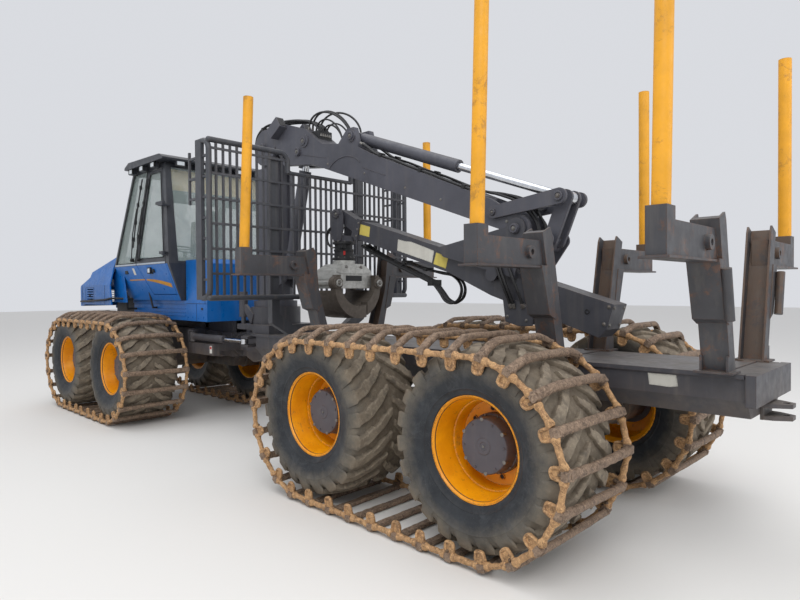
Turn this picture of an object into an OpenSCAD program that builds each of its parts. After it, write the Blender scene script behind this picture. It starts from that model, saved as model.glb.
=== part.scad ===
// Forestry forwarder: eight wheels under four track loops, a cab and hood in front of a steering
// joint, and a load frame with stakes, a headboard and a parked loading crane behind it.
// X points forward, Y to the left, Z up, and the ground is at Z = 0. Lengths are in millimetres.

/* [Wheels and tracks] */
// Height of every wheel centre over the ground
axle_z = 705; // [690:1:720]
// Outer diameter of a tyre over its lugs
tyre_d = 1410; // [1380:1:1412]
// Width of a tyre at its bulge
tyre_w = 750; // [700:5:755]
// Distance from the centre line to the middle of a tyre
wheel_half = 1085; // [1082:1:1088]
// Distance from the centre line to the middle of a track
track_half = 1052; // [1050:1:1056]
// Diameter of a rim over its flange
rim_d = 723; // [700:1:760]
// Distance between the two wheels of a bogie
wheel_gap = 1720; // [1700:5:1760]
// Middle of the rear bogies along X
rear_bogie_x = -2800; // [-2850:5:-2750]
// Middle of the front bogies along X
front_bogie_x = 3434; // [3400:2:3470]
// Number of shoes round one track loop
shoe_count = 32; // [30:1:34]
// Thickness of a track shoe
shoe_t = 50; // [44:1:52]
// Width of a track shoe along the loop
shoe_w = 64; // [50:1:80]
// Overall width of a track loop
track_w = 890; // [880:1:894]
// How far the ends of the top shoes bend down over the tyre
shoe_drop = 90; // [70:1:95]

/* [Load frame] */
// Height of the deck
deck_z = 1230; // [1200:5:1260]
// Depth of the frame beam under the deck
beam_depth = 262; // [220:2:280]
// Half width of the frame beam
beam_half = 420; // [400:5:430]
// Rear end of the frame beam
beam_rear_x = -5040; // [-5080:10:-5000]
// Middle of the front bunk along X
bunk_x_front = -840; // [-850:5:-830]
// Middle of the middle bunk along X
bunk_x_mid = -3683; // [-3693:5:-3673]
// Middle of the rear bunk along X
bunk_x_rear = -4872; // [-4882:5:-4862]
// Distance from the centre line to a stake
stake_y = 1371; // [1350:1:1400]
// Diameter of a stake
stake_d = 98; // [90:1:104]
// Height of the stake tops
stake_top_z = 3688; // [3500:4:3900]
// Height of the stake sockets' tops
socket_top_z = 2199; // [2150:1:2250]

/* [Headboard] */
// Rear face line of the headboard's tubes along X
gate_x = -340; // [-350:5:-330]
// Half width of the headboard
gate_half = 1490; // [1450:5:1500]
// Lower edge of the headboard
gate_low_z = 1667; // [1640:1:1700]
// Upper edge of the headboard's sides
gate_top_z = 3367; // [3300:1:3400]
// Upper edge of the headboard under the boom
gate_mid_z = 3150; // [3100:1:3170]
// Diameter of the headboard's outer tube
gate_tube_d = 60; // [40:1:70]

/* [Crane] */
// Middle of the crane pillar along X
pillar_x = 620; // [600:1:640]
// Diameter of the crane pillar
pillar_d = 460; // [400:5:480]
// Height of the boom's main pin
boom_pin_z = 3620; // [3600:1:3640]
// Half width of the boom's box
boom_half = 150; // [130:1:160]
// Half width of the stick's box
stick_half = 118; // [105:1:122]
// Wall of the stick's box
stick_wall = 10; // [6:1:14]

/* [Steering joint] */
// Place of the steering pin along X
steer_x = 1200; // [1190:1:1210]
// Height of the steering joint's middle
steer_z = 1020; // [1010:1:1030]

// Distance of a steering cylinder from the centre line
steer_cyl_y = 475; // [470:1:480]
// Height of the steering cylinders
steer_cyl_z = 1130; // [1125:1:1140]

/* [Cab and hood] */
// Rear edge of the cab's sill along X
cab_rear_x = 1900; // [1890:5:1905]
// Half width of the cab at its sill
cab_half = 850; // [820:5:870]
// Height of the cab's sill
sill_z = 2160; // [2140:1:2180]
// Height of the cab's floor
cab_floor_z = 1700; // [1690:1:1712]
// Height of the cab's upper edge
cab_top_z = 3560; // [3540:1:3580]
// Wall of the cab
cab_wall = 45; // [40:1:55]
// Front face of the hood along X
hood_front_x = 5070; // [5060:2:5074]
// Half width of the hood
hood_half = 940; // [900:5:960]

/* [Hidden] */
$fn = 40;

steel = [0.27, 0.28, 0.31];
blue = [0.08, 0.39, 0.70];
yellow = [0.96, 0.69, 0.12];
rubber = [0.20, 0.19, 0.18];
rust = [0.50, 0.38, 0.27];
chrome = [0.82, 0.83, 0.85];
fit = 0.05;
seat_gap = 0.3;
steer_root_x = 1950;
steer_eye_x = 620;
loop_r = 740;
stance = loop_r + shoe_t / 2 - axle_z;

// Crane points in the X-Z plane: [x, z]
boom_pin = [pillar_x, boom_pin_z];
lift_top = [-100, 3450];
lift_foot = [310, 1980];
stick_cyl_root = [-1071, 3467];
knuckle_pin = [-3206, 2287];
rocker_root = [-2977, 2448];
rocker_end = [-3619, 2521];
tie_foot = [-3295, 1922];
tip_pin = [-757, 2640];
stick_slope = 17.1;
stick_top_at = [-2319, 2178];

// A box between two corners
module block(x0, x1, y0, y1, z0, z1) {
  translate([x0, y0, z0]) cube([x1 - x0, y1 - y0, z1 - z0]);
}

// A flat shape drawn in X-Z, standing between y0 and y1
module side_slab(y0, y1) {
  translate([0, y1, 0]) rotate([90, 0, 0]) linear_extrude(y1 - y0) children();
}

// A flat shape drawn in Y-Z, standing between x0 and x1
module cross_slab(x0, x1) {
  translate([x0, 0, 0]) rotate([90, 0, 90]) linear_extrude(x1 - x0) children();
}

// A round bar along Y at an [x, z] point
module pin_y(at, d, y0, y1) {
  translate([at[0], y1, at[1]]) rotate([90, 0, 0]) cylinder(d = d, h = y1 - y0);
}

// A round bar between two points of a plane Y = y
module rod_xz(a, b, d, y = 0) {
  run = b - a;
  translate([a[0], y, a[1]]) rotate([0, atan2(run[0], run[1]), 0])
    cylinder(d = d, h = norm(run));
}

// A round bar between any two points
module tube(a, b, d) {
  run = b - a;
  turn = atan2(run[1], run[0]);
  tilt = acos(run[2] / norm(run));
  translate(a) rotate([0, tilt, turn]) cylinder(d = d, h = norm(run));
}

// A flat link with round ends, in its own plane
module link_shape(a, b, da, db) {
  run = b - a;
  side = [-run[1], run[0]] / norm(run);
  translate(a) circle(d = da);
  translate(b) circle(d = db);
  polygon([a + side * da / 2, b + side * db / 2, b - side * db / 2, a - side * da / 2]);
}

module mirror_y() {
  children();
  mirror([0, 1, 0]) children();
}

// Rear frame

frame_front_x = 1010;
deck_front_x = 540;
module rear_frame() {
  low = deck_z - beam_depth;
  color(steel) {
    cross_slab(beam_rear_x, 450) polygon([[-beam_half, deck_z], [beam_half, deck_z],
      [beam_half, low + 90], [beam_half - 90, low - 28], [90 - beam_half, low - 28],
      [-beam_half, low + 90]]);
    block(beam_rear_x + 10, deck_front_x, -beam_half - 18, beam_half + 18, deck_z - 30, deck_z);
    // bumper
    block(beam_rear_x - 60, beam_rear_x, -beam_half - 40, beam_half + 40, low + 62, deck_z);
    // axle of the rear bogies
    pin_y([rear_bogie_x, axle_z], 300, 8 - bogie_in, bogie_in - 8);
    side_slab(20 - beam_half, beam_half - 20) polygon([[rear_bogie_x - 420, low + 1],
      [rear_bogie_x - 170, axle_z - 60], [rear_bogie_x + 170, axle_z - 60],
      [rear_bogie_x + 420, low + 1]]);
    mirror_y() pin_y([rear_bogie_x, axle_z], 180, beam_half - 20, bogie_out - 50);
  }
}

// Narrow front part of the rear frame, with the yoke of the steering pin
module frame_neck() {
  low = deck_z - beam_depth;
  color(steel) difference() {
    union() {
      block(450 + seat_gap, frame_front_x - 60, -240, 240, low, deck_z - 30 - seat_gap);
      block(deck_front_x + seat_gap, frame_front_x - 60, -240, 240, low, deck_z - seat_gap);
      side_slab(-170, 170) polygon([[900, 820], [1060, 875], [1060, 1241],
        [frame_front_x, deck_z + 40], [600, deck_z + 40], [600, 900]]);
      side_slab(-118, 118) polygon([[1050, 880], [steer_x, 880], [steer_x, 1160],
        [1050, 1241]]);
      pin_z(steer_x, 240, 880, 1160);
      // brackets of the steering rods
      mirror_y() for (z = [steer_cyl_z - 68, steer_cyl_z + 38])
        block(steer_eye_x - 110, steer_eye_x + 45, 230, steer_cyl_y + 25, z, z + 31);
    }
    // steering yoke gap and pin hole
    block(1030, 1400, -200, 200, steer_z - 75, steer_z + 75);
    pin_z(steer_x, 90, 800, 1200);
  }
}

// Jaws of the tow hitch on the rear face of the beam
module hitch_jaws() {
  plate_x = beam_rear_x - seat_gap;
  color(steel) difference() {
    union() {
      block(plate_x - 18, plate_x, -120, 120, hitch_low_z, hitch_low_z + 120);
      for (z = [hitch_low_z, hitch_low_z + 80]) translate([0, 0, z]) linear_extrude(27)
        polygon([[plate_x - 10, -115], [plate_x - 10, 115], [-5110, 105], [-5210, 45],
          [-5210, -45], [-5110, -105]]);
    }
    pin_z(-5165, 44, 800, 1100);
  }
}
hitch_low_z = 905;

// A round bar along Z on the centre line
module pin_z(x, d, z0, z1) {
  translate([x, 0, z0]) cylinder(d = d, h = z1 - z0);
}

// Bunks

// Leaning post of a bunk: outer line and inner line as [y, z]
post_foot_in = 340;
post_head_in = 575;
post_flange = 75;
post_half = 84;
post_mid_in = 458;
socket_half = 56;
post_top_z = 2185;
arm_low_z = 1937;
arm_high_z = 2127;
// guards adds the tubes of the rear bunk, bow bends the posts out where the claws park
module bunk(x, guards, bow) {
  color(steel) {
    block(x - 40, x + 40, -360, 360, deck_z, deck_z + 8);
    mirror_y() {
      block(x - 115, x + 115, 350, 520, deck_z, deck_z + 14);
      for (edge = [-post_half, post_half - 14])
        block(x + edge, x + edge + 14, post_foot_in + 60, 500, deck_z, deck_z + 112);
      difference() {
        cross_slab(x - post_half, x + post_half) polygon([[post_foot_in, deck_z],
          [post_foot_in + 110, deck_z], [post_head_in + post_flange + 30, post_top_z],
          [post_head_in - 5, post_top_z + 45], [post_head_in - 30, post_top_z],
          [post_mid_in + bow, 1780]]);
        cross_slab(x - post_half + 14, x + post_half - 14) polygon([
          [post_foot_in - 60, deck_z + 14], [post_foot_in + 80, deck_z + 14],
          [post_head_in + post_flange, post_top_z + 80], [post_head_in - 90, post_top_z + 80]]);
      }
      // stiffened outer side under the arm
      cross_slab(x - post_half - 6, x + post_half + 16) polygon([[500, 1540], [588, 1575],
        [700, arm_low_z + 5], [585, arm_low_z + 5]]);
      block(x - 80, x + 80, post_head_in + 60, stake_y + 92, arm_low_z - 14, arm_low_z);
      // lifting ring on the arm
      translate([x - socket_half - 30, 815, 2034]) rotate([0, 90, 0]) difference() {
        cylinder(d = 92, h = 31);
        translate([0, 0, -1]) cylinder(d = 42, h = 20);
      }
    }
    // arms, with the stakes' sockets at their ends
    for (side = [-1, 1]) difference() {
      mirror([0, side < 0 ? 1 : 0, 0]) {
        block(x - socket_half, x + socket_half, post_head_in, stake_y - 50, arm_low_z, arm_high_z);
        block(x - socket_half, x + socket_half, stake_y - 60, stake_y + 60, arm_low_z - 10,
          socket_top_z);
      }
      stake_bar(x, side, stake_d + 3, 500);
    }
    if (guards) mirror_y() tube([x - 120, 596, 1570], [x - 120, 668, 1885], 58);
  }
}

// A stake on one side, leaning a little inward
stake_lean = [0.35, 2.4];
module stake_bar(x, side, d, h) {
  translate([x, side * stake_y, arm_low_z + 5])
    rotate([side * stake_lean[side > 0 ? 1 : 0], 0, 0]) cylinder(d = d, h = h);
}

module bunk_front() bunk(bunk_x_front, false, 42);
module bunk_middle() bunk(bunk_x_mid, false, 0);
module bunk_rear() bunk(bunk_x_rear, true, 0);

module stakes() {
  color(yellow) for (x = [bunk_x_front, bunk_x_mid, bunk_x_rear], side = [-1, 1])
    translate([0, 0, seat_gap]) stake_bar(x, side, stake_d, stake_top_z - arm_low_z - 5);
}

// Headboard

gate_dip_half = 480;
gate_post = [600, 700];
wing_turn = 110;
wing_post = [120, 240];
wing_far = 400;
bar_t = 22;
gate_r = gate_tube_d / 2;

// A quarter of a ring in the plane X = 0: corner at the origin's side given by sy, sz
module ring_quarter(r, d, sy, sz) {
  intersection() {
    rotate([0, 90, 0]) rotate_extrude() translate([r, 0]) circle(d = d);
    translate([-d, sy > 0 ? 0 : -r - d, sz > 0 ? 0 : -r - d]) cube([2 * d, r + d, r + d]);
  }
}
module headboard() {
  low = gate_low_z + gate_r;
  top = gate_top_z - gate_r;
  side = gate_half - gate_r;
  mid = gate_mid_z - gate_r;
  dip = gate_dip_half;
  turn = 110;
  color(steel) {
    tube([gate_x, -side, low], [gate_x, side, low], gate_tube_d);
    tube([gate_x, -dip, mid], [gate_x, dip, mid], 44);
    mirror_y() {
      tube([gate_x, side, low + wing_turn], [gate_x, side, top - wing_turn], gate_tube_d);
      tube([gate_x, dip + turn, top], [gate_x, side, top], gate_tube_d);
      translate([gate_x, dip + turn, top - turn]) ring_quarter(turn, gate_tube_d, -1, 1);
      tube([gate_x, dip, mid - 10], [gate_x, dip, top - turn], gate_tube_d);
      translate([gate_x, side, top]) sphere(d = gate_tube_d);
      translate([gate_x, side, low]) sphere(d = gate_tube_d);
      // wing: the outer tube turns forward at both ends to a flat post
      for (end = [[low + wing_turn, -1], [top - wing_turn, 1]])
        translate([gate_x + wing_turn, side, end[0]]) rotate([0, 0, 90])
          ring_quarter(wing_turn, gate_tube_d, 1, end[1]);
      for (z = [low, top])
        tube([gate_x + wing_turn, side, z], [gate_x + wing_post[0] + 30, side, z], gate_tube_d);
      block(gate_x + wing_post[0], gate_x + wing_post[1], side - 14, side + 26, low - 20, top + 20);
      for (i = [0 : 6])
        block(gate_x, gate_x + (i > 3 ? wing_far + 24 : wing_post[1]), side - 12, side + 12,
          low + 180 + i * 215, low + 204 + i * 215);
      block(gate_x + wing_far, gate_x + wing_far + 24, side - 12, side + 12,
        low + 1000, low + 1560);
      // bars
      for (i = [1 : 11]) if (i != 2)
        block(gate_x - bar_t / 2, gate_x + bar_t / 2, dip + i * (side - dip) / 12 - bar_t / 2,
          dip + i * (side - dip) / 12 + bar_t / 2, low, top);
    }
    for (i = [-5 : 5])
      block(gate_x - bar_t / 2, gate_x + bar_t / 2, i * dip / 6 - bar_t / 2,
        i * dip / 6 + bar_t / 2, low, mid);
    for (i = [0 : 4]) let (z = low + 240 + i * 260)
      block(gate_x - bar_t / 2 - 8, gate_x - bar_t / 2 + 2, -side, side, z, z + 26);
    mirror_y() {
      block(gate_x - 18, gate_x - 9, dip, side, low + 1540, low + 1566);
      // uprights that carry the headboard
      block(gate_x + 8, gate_x + 94, gate_post[0], gate_post[1], 1400, top - 60);
      cross_slab(gate_x + 8, gate_x + 94) polygon([[beam_half - 60, deck_z], [beam_half, deck_z],
        [gate_post[1], 1400], [gate_post[1], 1500], [gate_post[0], 1500],
        [beam_half - 60, 1330]]);
    }
  }
}

// Crane base and pillar

base_top_z = 1560;
module crane_base() {
  color(steel) difference() {
    union() {
      block(pillar_x - 400, pillar_x + 330, -380, 380, deck_z + 42, deck_z + 110);
      block(pillar_x - 400, 590, -380, 380, deck_z, deck_z + 60);
      pin_z(pillar_x, 640, deck_z + 100, base_top_z);
      // cylinders that level the crane
      mirror_y() {
        translate([905, 310, deck_z + 109]) cylinder(d = 62, h = 130);
        translate([905, 310, deck_z + 200]) cylinder(d = 112, h = 330);
        side_slab(290, 330) polygon([[pillar_x + 80, deck_z + 105], [905, deck_z + 330],
          [905, deck_z + 400], [pillar_x + 20, base_top_z - 90]]);
      }
    }
    pin_z(pillar_x, 300 + 2 * fit, base_top_z - 180, base_top_z + 10);
  }
}

module pillar() {
  color(steel) difference() {
    union() {
      pin_z(pillar_x, 300, base_top_z - 150, base_top_z + 20);
      pin_z(pillar_x, 560, base_top_z + seat_gap, base_top_z + 80);
      pin_z(pillar_x, pillar_d, base_top_z + 80, 3330);
      side_slab(-100, 100) link_shape([pillar_x, 3200], boom_pin, 300, 250);
      side_slab(-125, 125) polygon([[pillar_x - 100, 2200], [lift_foot[0] - 60, lift_foot[1] + 60],
        [lift_foot[0] - 60, lift_foot[1] - 80], [pillar_x - 100, 1750]]);
    }
    pin_y(boom_pin, 100 + 2 * fit, -400, 400);
    // slot for the lift cylinder
    block(lift_foot[0] - 200, lift_foot[0] + 90, -82, 82, 1700, 2300);
    block(200, 440, -82, 82, 2000, 3400);
  }
  color(steel) pin_y(lift_foot, 60, -125, 125);
}

// Boom: the outline as [x, z]
boom_outline = [[200, 3330], [-387, 3256], [-3100, 2270], [-3230, 2220], [-3300, 2330],
  [-3180, 2420], [-2940, 2570], [-1370, 3235], [-1180, 3330], [-1110, 3560], [-1000, 3560],
  [-850, 3420], [-560, 3470], [-250, 3700], [200, 3850], [560, 3850]];
module boom() {
  color(steel) difference() {
    union() {
      side_slab(-boom_half, boom_half) {
        polygon(boom_outline);
        translate(boom_pin) circle(d = 460);
        translate(knuckle_pin) circle(d = 250);
      }
      pin_y(boom_pin, 100, -190, 190);
      mirror_y() pin_y(rocker_root, 60, boom_half - 10, boom_half + 42);
      mirror_y() pin_y(knuckle_pin, 90, boom_half - 10, boom_half + 52);
      mirror_y() pin_y([-230, 3560], 150, boom_half - 10, boom_half + 12);
      mirror_y() pin_y(stick_cyl_root, 130, boom_half - 10, boom_half + 14);
    }
    // fork over the pillar head
    block(180, 1000, -107, 107, 3000, 4000);
    difference() {
      pin_y(boom_pin, 600, -107, 107);
      pin_y(boom_pin, 100, -120, 120);
    }
    // slot for the lift cylinder's eye
    block(-250, 300, -62, 62, 3150, 3560);
    // slot for the stick cylinder
    side_slab(-80, 80) polygon([[-860, 3800], [-860, 3385], [-1240, 3345], [-1900, 3200],
      [-1900, 3800]]);
    // end of the boom between the knuckle plates
    side_slab(-boom_half + 30, boom_half - 30) polygon([[-2800, 2700], [-2860, 2390],
      [-3120, 2180], [-3500, 2180], [-3500, 2700]]);
  }
  color(steel) {
    pin_y(stick_cyl_root, 60, -boom_half, boom_half);
    mirror_y() pin_y(lift_top, 110, 66, boom_half + 12);
  }
}

// Stick and extension, drawn along the stick's own axis
module along_stick() {
  translate([stick_top_at[0], 0, stick_top_at[1]]) rotate([0, -stick_slope, 0]) children();
}
stick_h = 206;
stick_back = -1812;
stick_front = 1240;
module stick() {
  color(steel) difference() {
    union() {
      along_stick() {
        block(stick_back, stick_front, -stick_half, stick_half, -stick_h, 0);
        side_slab(-stick_half, stick_half) polygon([[stick_back, -stick_h + 1],
          [stick_back + 40, -285], [-700, -270], [-150, -stick_h + 1]]);
        block(stick_front - 60, stick_front, -stick_half - 14, stick_half + 14,
          -stick_h - 14, 14);
      }
      mirror_y() side_slab(boom_half + 6, boom_half + 28) link_shape(knuckle_pin,
        [-2950, 1900], 190, 120);
      mirror_y() side_slab(boom_half + 6, boom_half + 28) polygon([
        knuckle_pin + [95, 20], [-2330, 2170], [-2400, 2080], [-3190, 1862],
        knuckle_pin + [-95, 0]]);
      mirror_y() side_slab(stick_half - 2, boom_half + 28) polygon([[-2330, 2160],
        [-2400, 2080], [-3190, 1862], [-3190, 1915]]);
    }
    along_stick() block(stick_back + 400, stick_front + 20, -stick_half + stick_wall,
      stick_half - stick_wall, -stick_h + stick_wall, -stick_wall);
    pin_y(knuckle_pin, 90 + 2 * fit, -400, 400);
  }
  color(steel) mirror_y() {
    pin_y(tie_foot, 60, stick_half - 5, stick_half + 60);
    side_slab(stick_half - 26, stick_half + 2.5)
      link_shape(tie_foot, tie_foot - [10, 130], 104, 140);
  }
}

extension_gap = 6;
module extension() {
  color(steel) union() {
    along_stick() {
      block(-900, stick_front + 60, -stick_half + stick_wall + extension_gap,
        stick_half - stick_wall - extension_gap,
        -stick_h + stick_wall + extension_gap, -stick_wall - extension_gap);
      block(stick_front + 10, stick_front + 60, -stick_half, stick_half, -stick_h, 0);
    }
    along_stick() side_slab(-62, 62) polygon([[stick_front + 20, -180], [stick_front + 20, -24],
      [1590, 40], [1690, 10], [1690, -50], [1620, -85]]);
    pin_y(tip_pin, 120, -64, 64);
    pin_y(tip_pin, 50, -100, 100);
  }
}

// Cylinders of the crane: barrel from its root to a fraction of the way, rod to the far eye
module barrel(a, b, share, d, eye_d, pin_d, half) {
  along = (b - a) / norm(b - a);
  color(steel) difference() {
    union() {
      rod_xz(a + along * pin_d * 0.8, a + (b - a) * share, d);
      pin_y(a, eye_d, -half, half);
    }
    pin_y(a, pin_d + 2 * fit, -200, 200);
    rod_xz(a + along * eye_d, b, d * 0.6 + 1);
  }
}

module rod(a, b, share, d, eye_d, half) {
  start = a + (b - a) * share;
  color(chrome) {
    rod_xz(start, b, d);
    pin_y(b, eye_d, -half, half);
  }
}

module lift_barrel() barrel(lift_foot, lift_top, 0.86, 150, 130, 60, 70);
module lift_rod() rod(lift_foot, lift_top, 0.2, 89, 120, 56);
module stick_barrel() barrel(stick_cyl_root, rocker_end, 0.545, 126, 112, 60, 50);
module stick_rod() rod(stick_cyl_root, rocker_end, 0.2, 74, 110, 45);

// Links of the knuckle
module knuckle_rocker() {
  color(steel) mirror_y() difference() {
    side_slab(boom_half + 6, boom_half + 36) link_shape(rocker_root, rocker_end, 110, 130);
    pin_y(rocker_root, 60 + 2 * fit, 0, 400);
  }
  color(steel) pin_y(rocker_end, 50, -boom_half - 40, -120);
  color(steel) pin_y(rocker_end, 50, 120, boom_half + 40);
  color(steel) pin_y(rocker_root + (rocker_end - rocker_root) / 2, 50, -boom_half - 10,
    boom_half + 10);
}

module knuckle_tie() {
  color(steel) difference() {
    union() {
      mirror_y() side_slab(stick_half + 8, stick_half + 26) link_shape(tie_foot,
        [-3480, 2180], 120, 130);
      mirror_y() side_slab(52, 80) link_shape([-3480, 2180], rocker_end, 130, 130);
      side_slab(-stick_half - 26, stick_half + 26) link_shape([-3440, 2120], [-3480, 2180],
        60, 60);
    }
    pin_y(tie_foot, 60 + 2 * fit, -400, 400);
  }
}

// Hanging parts of the grapple
tip_link_low_z = 2420;
module tip_link() {
  color(steel) difference() {
    union() {
      mirror_y() side_slab(67, 92) link_shape(tip_pin, [tip_pin[0], tip_link_low_z], 110, 110);
      block(tip_pin[0] - 60, tip_pin[0] + 60, -92, 92, tip_link_low_z - 90,
        tip_link_low_z - 20);
      translate([tip_pin[0], 0, 2110]) cylinder(d = 190, h = tip_link_low_z - 90 - 2110);
    }
    pin_y(tip_pin, 50 + 2 * fit, -400, 400);
  }
}

claw_pivot_y = 304;
claw_pivot_z = 1850;
claw_half_x = 250;
module grapple_head() {
  x = tip_pin[0];
  color([0.7, 0.7, 0.7]) difference() {
    union() {
      translate([x, 0, 2070]) cylinder(d = 260, h = 2110 - 2070 - seat_gap);
      cross_slab(x - 170, x + 170) polygon([[-140, 2070], [140, 2070], [260, 2000],
        [300, 1900], [300, 1790], [-300, 1790], [-300, 1900], [-260, 2000]]);
      mirror_y() translate([x - claw_half_x - 20, claw_pivot_y, claw_pivot_z])
        rotate([0, 90, 0]) cylinder(d = 60, h = 2 * claw_half_x + 40);
    }
    block(x - 160, x + 160, -200, 200, 1750, 1900);
  }
}

// A claw bends round under the head: an arc of plate with two side ribs
claw_inner = 148;
module claw(near, far, outer) {
  x = tip_pin[0];
  color([0.42, 0.40, 0.38]) difference() {
    union() {
      cross_slab(x + near, x + far) difference() {
        union() {
          translate([-20, claw_pivot_z - 40]) circle(r = 360, $fn = 64);
          translate([claw_pivot_y, claw_pivot_z]) circle(d = 150);
        }
        translate([-20, claw_pivot_z + 20]) circle(r = 285, $fn = 64);
        translate([-500, claw_pivot_z - 100]) square([500, 800]);
        translate([-600, claw_pivot_z + 90]) square([1200, 800]);
        translate([-520, claw_pivot_z - 500]) square([400, 600]);
      }
    }
    translate([x - 400, claw_pivot_y, claw_pivot_z]) rotate([0, 90, 0])
      cylinder(d = 60 + 2 * fit, h = 800);
    block(x - 176, x + 176, 0, 400, claw_pivot_z - 82, claw_pivot_z + 300);
    if (outer) block(x - claw_inner, x + claw_inner, -400, 135, 1300, 2000);
    if (!outer) for (a = [-1, 1])
      translate([x + a * (claw_inner + 150), -60, 1600]) cube([312, 390, 600], center = true);
  }
}

module claw_left() claw(-claw_half_x, claw_half_x, true);
module claw_right() mirror([0, 1, 0]) claw(-claw_half_x, claw_half_x, false);

// Bogies, wheels and tracks

// A bogie beam on the left side, its middle at X = 0
bogie_in = wheel_half - 615;
bogie_out = wheel_half - 395;
hub_face = wheel_half + 105;
module bogie(x, side) {
  color(steel) translate([x, 0, axle_z]) mirror([0, side < 0 ? 1 : 0, 0]) difference() {
    union() {
      side_slab(bogie_in, bogie_out) polygon([[-wheel_gap / 2 - 60, -130],
        [wheel_gap / 2 + 60, -130], [wheel_gap / 2 + 130, 0], [wheel_gap / 2 + 60, 130],
        [200, 190], [-200, 190], [-wheel_gap / 2 - 60, 130], [-wheel_gap / 2 - 130, 0]]);
      for (dx = [-wheel_gap / 2, wheel_gap / 2]) {
        pin_y([dx, 0], 330, bogie_out - 10, hub_face);
        pin_y([dx, 0], 140, hub_face - 10, hub_face + 75);
      }
    }
    pin_y([0, 0], 180 + 2 * fit, bogie_in - 10, bogie_out - 48);
  }
}

// Half section of a wheel as [radius, distance outward from its middle]
rim_r = rim_d / 2;
bulge = tyre_w / 2;
tyre_r = tyre_d / 2;
module wheel(x, side) {
  translate([x, side * wheel_half, axle_z]) rotate([side > 0 ? -90 : 90, 0, 0]) {
    color(rubber) rotate_extrude() polygon([[rim_r, bulge - 70], [430, bulge - 24],
      [520, bulge], [600, bulge - 2], [642, bulge - 26], [tyre_r - 25, bulge - 62],
      [tyre_r - 6, bulge - 120], [tyre_r, bulge - 220], [tyre_r, 220 - bulge],
      [tyre_r - 6, 120 - bulge], [tyre_r - 25, 62 - bulge], [642, 26 - bulge],
      [600, 2 - bulge], [520, -bulge], [430, 24 - bulge], [rim_r, 70 - bulge],
      [rim_r - 30, 70 - bulge], [rim_r - 30, bulge - 70]]);
    color(yellow) rotate_extrude() polygon([[rim_r - 1, bulge - 69], [rim_r - 22, bulge - 69],
      [rim_r - 60, 175], [160, 127], [160, 205], [0, 205], [0, 181], [70 + fit, 181],
      [70 + fit, 115], [rim_r - 70, 115], [rim_r - 45, 69 - bulge], [rim_r - 1, 69 - bulge]]);
  }
}

// Places of the wheels: name, bogie, end of the bogie
module wheel_1_left() wheel(front_bogie_x + wheel_gap / 2, 1);
module wheel_1_right() wheel(front_bogie_x + wheel_gap / 2, -1);
module wheel_2_left() wheel(front_bogie_x - wheel_gap / 2, 1);
module wheel_2_right() wheel(front_bogie_x - wheel_gap / 2, -1);
module wheel_3_left() wheel(rear_bogie_x + wheel_gap / 2, 1);
module wheel_3_right() wheel(rear_bogie_x + wheel_gap / 2, -1);
module wheel_4_left() wheel(rear_bogie_x - wheel_gap / 2, 1);
module wheel_4_right() wheel(rear_bogie_x - wheel_gap / 2, -1);

// A track loop: its path is two straight runs and two half circles, slack at the front
loop_gap = wheel_gap + 60;
loop_mid = 30;
loop_len = 2 * loop_gap + 2 * PI * loop_r;
function loop_at(s) =
  s < loop_gap ? [loop_gap / 2 - s, loop_r, 0]
  : s < loop_gap + PI * loop_r ?
    let (a = (s - loop_gap) / loop_r * 180 / PI)
      [-loop_gap / 2 - loop_r * sin(a), loop_r * cos(a), -a]
  : s < 2 * loop_gap + PI * loop_r ?
    [-loop_gap / 2 + s - loop_gap - PI * loop_r, -loop_r, -180]
  : let (a = (s - 2 * loop_gap - PI * loop_r) / loop_r * 180 / PI)
      [loop_gap / 2 + loop_r * sin(a), -loop_r * cos(a), -180 - a];
function drop_at(turn) = shoe_drop * max(0, cos(turn));
function inward(p, depth) = [p[0] - depth * sin(p[2]), p[1] - depth * cos(p[2])];

chain_w = 26;
ear = 95;
module track(x, side) {
  pitch = loop_len / shoe_count;
  half = track_w / 2;
  t = shoe_t / 2;
  spots = [for (i = [0 : shoe_count - 1]) loop_at((i + 0.5) * pitch)];
  color(rust) translate([x + loop_mid, side * track_half, axle_z]) {
    for (p = spots) let (d = drop_at(p[2]))
      translate([p[0], 0, p[1]]) rotate([0, p[2], 0])
        rotate([90, 0, 90]) translate([0, 0, -shoe_w / 2]) linear_extrude(shoe_w)
          polygon([[-half, -d - ear], [chain_w - half, -d - ear], [chain_w - half, -d - 24],
            [110 - half, -t], [half - 110, -t], [half - chain_w, -d - 24],
            [half - chain_w, -d - ear], [half, -d - ear], [half, -d + 10], [half - 90, t],
            [90 - half, t], [-half, -d + 10]]);
    for (y = [-half + 3, half - chain_w + 3])
      side_slab(y, y + chain_w - 6) difference() {
        polygon([for (p = spots) inward(p, drop_at(p[2]) + 2)]);
        polygon([for (p = spots) inward(p, drop_at(p[2]) + 50)]);
      }
  }
}

module rear_left_bogie() bogie(rear_bogie_x, 1);
module rear_right_bogie() bogie(rear_bogie_x, -1);
module front_left_bogie() bogie(front_bogie_x, 1);
module front_right_bogie() bogie(front_bogie_x, -1);
module rear_left_track() track(rear_bogie_x, 1);
module rear_right_track() track(rear_bogie_x, -1);
module front_left_track() track(front_bogie_x, 1);
module front_right_track() track(front_bogie_x, -1);

// Steering joint and front frame

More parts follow.
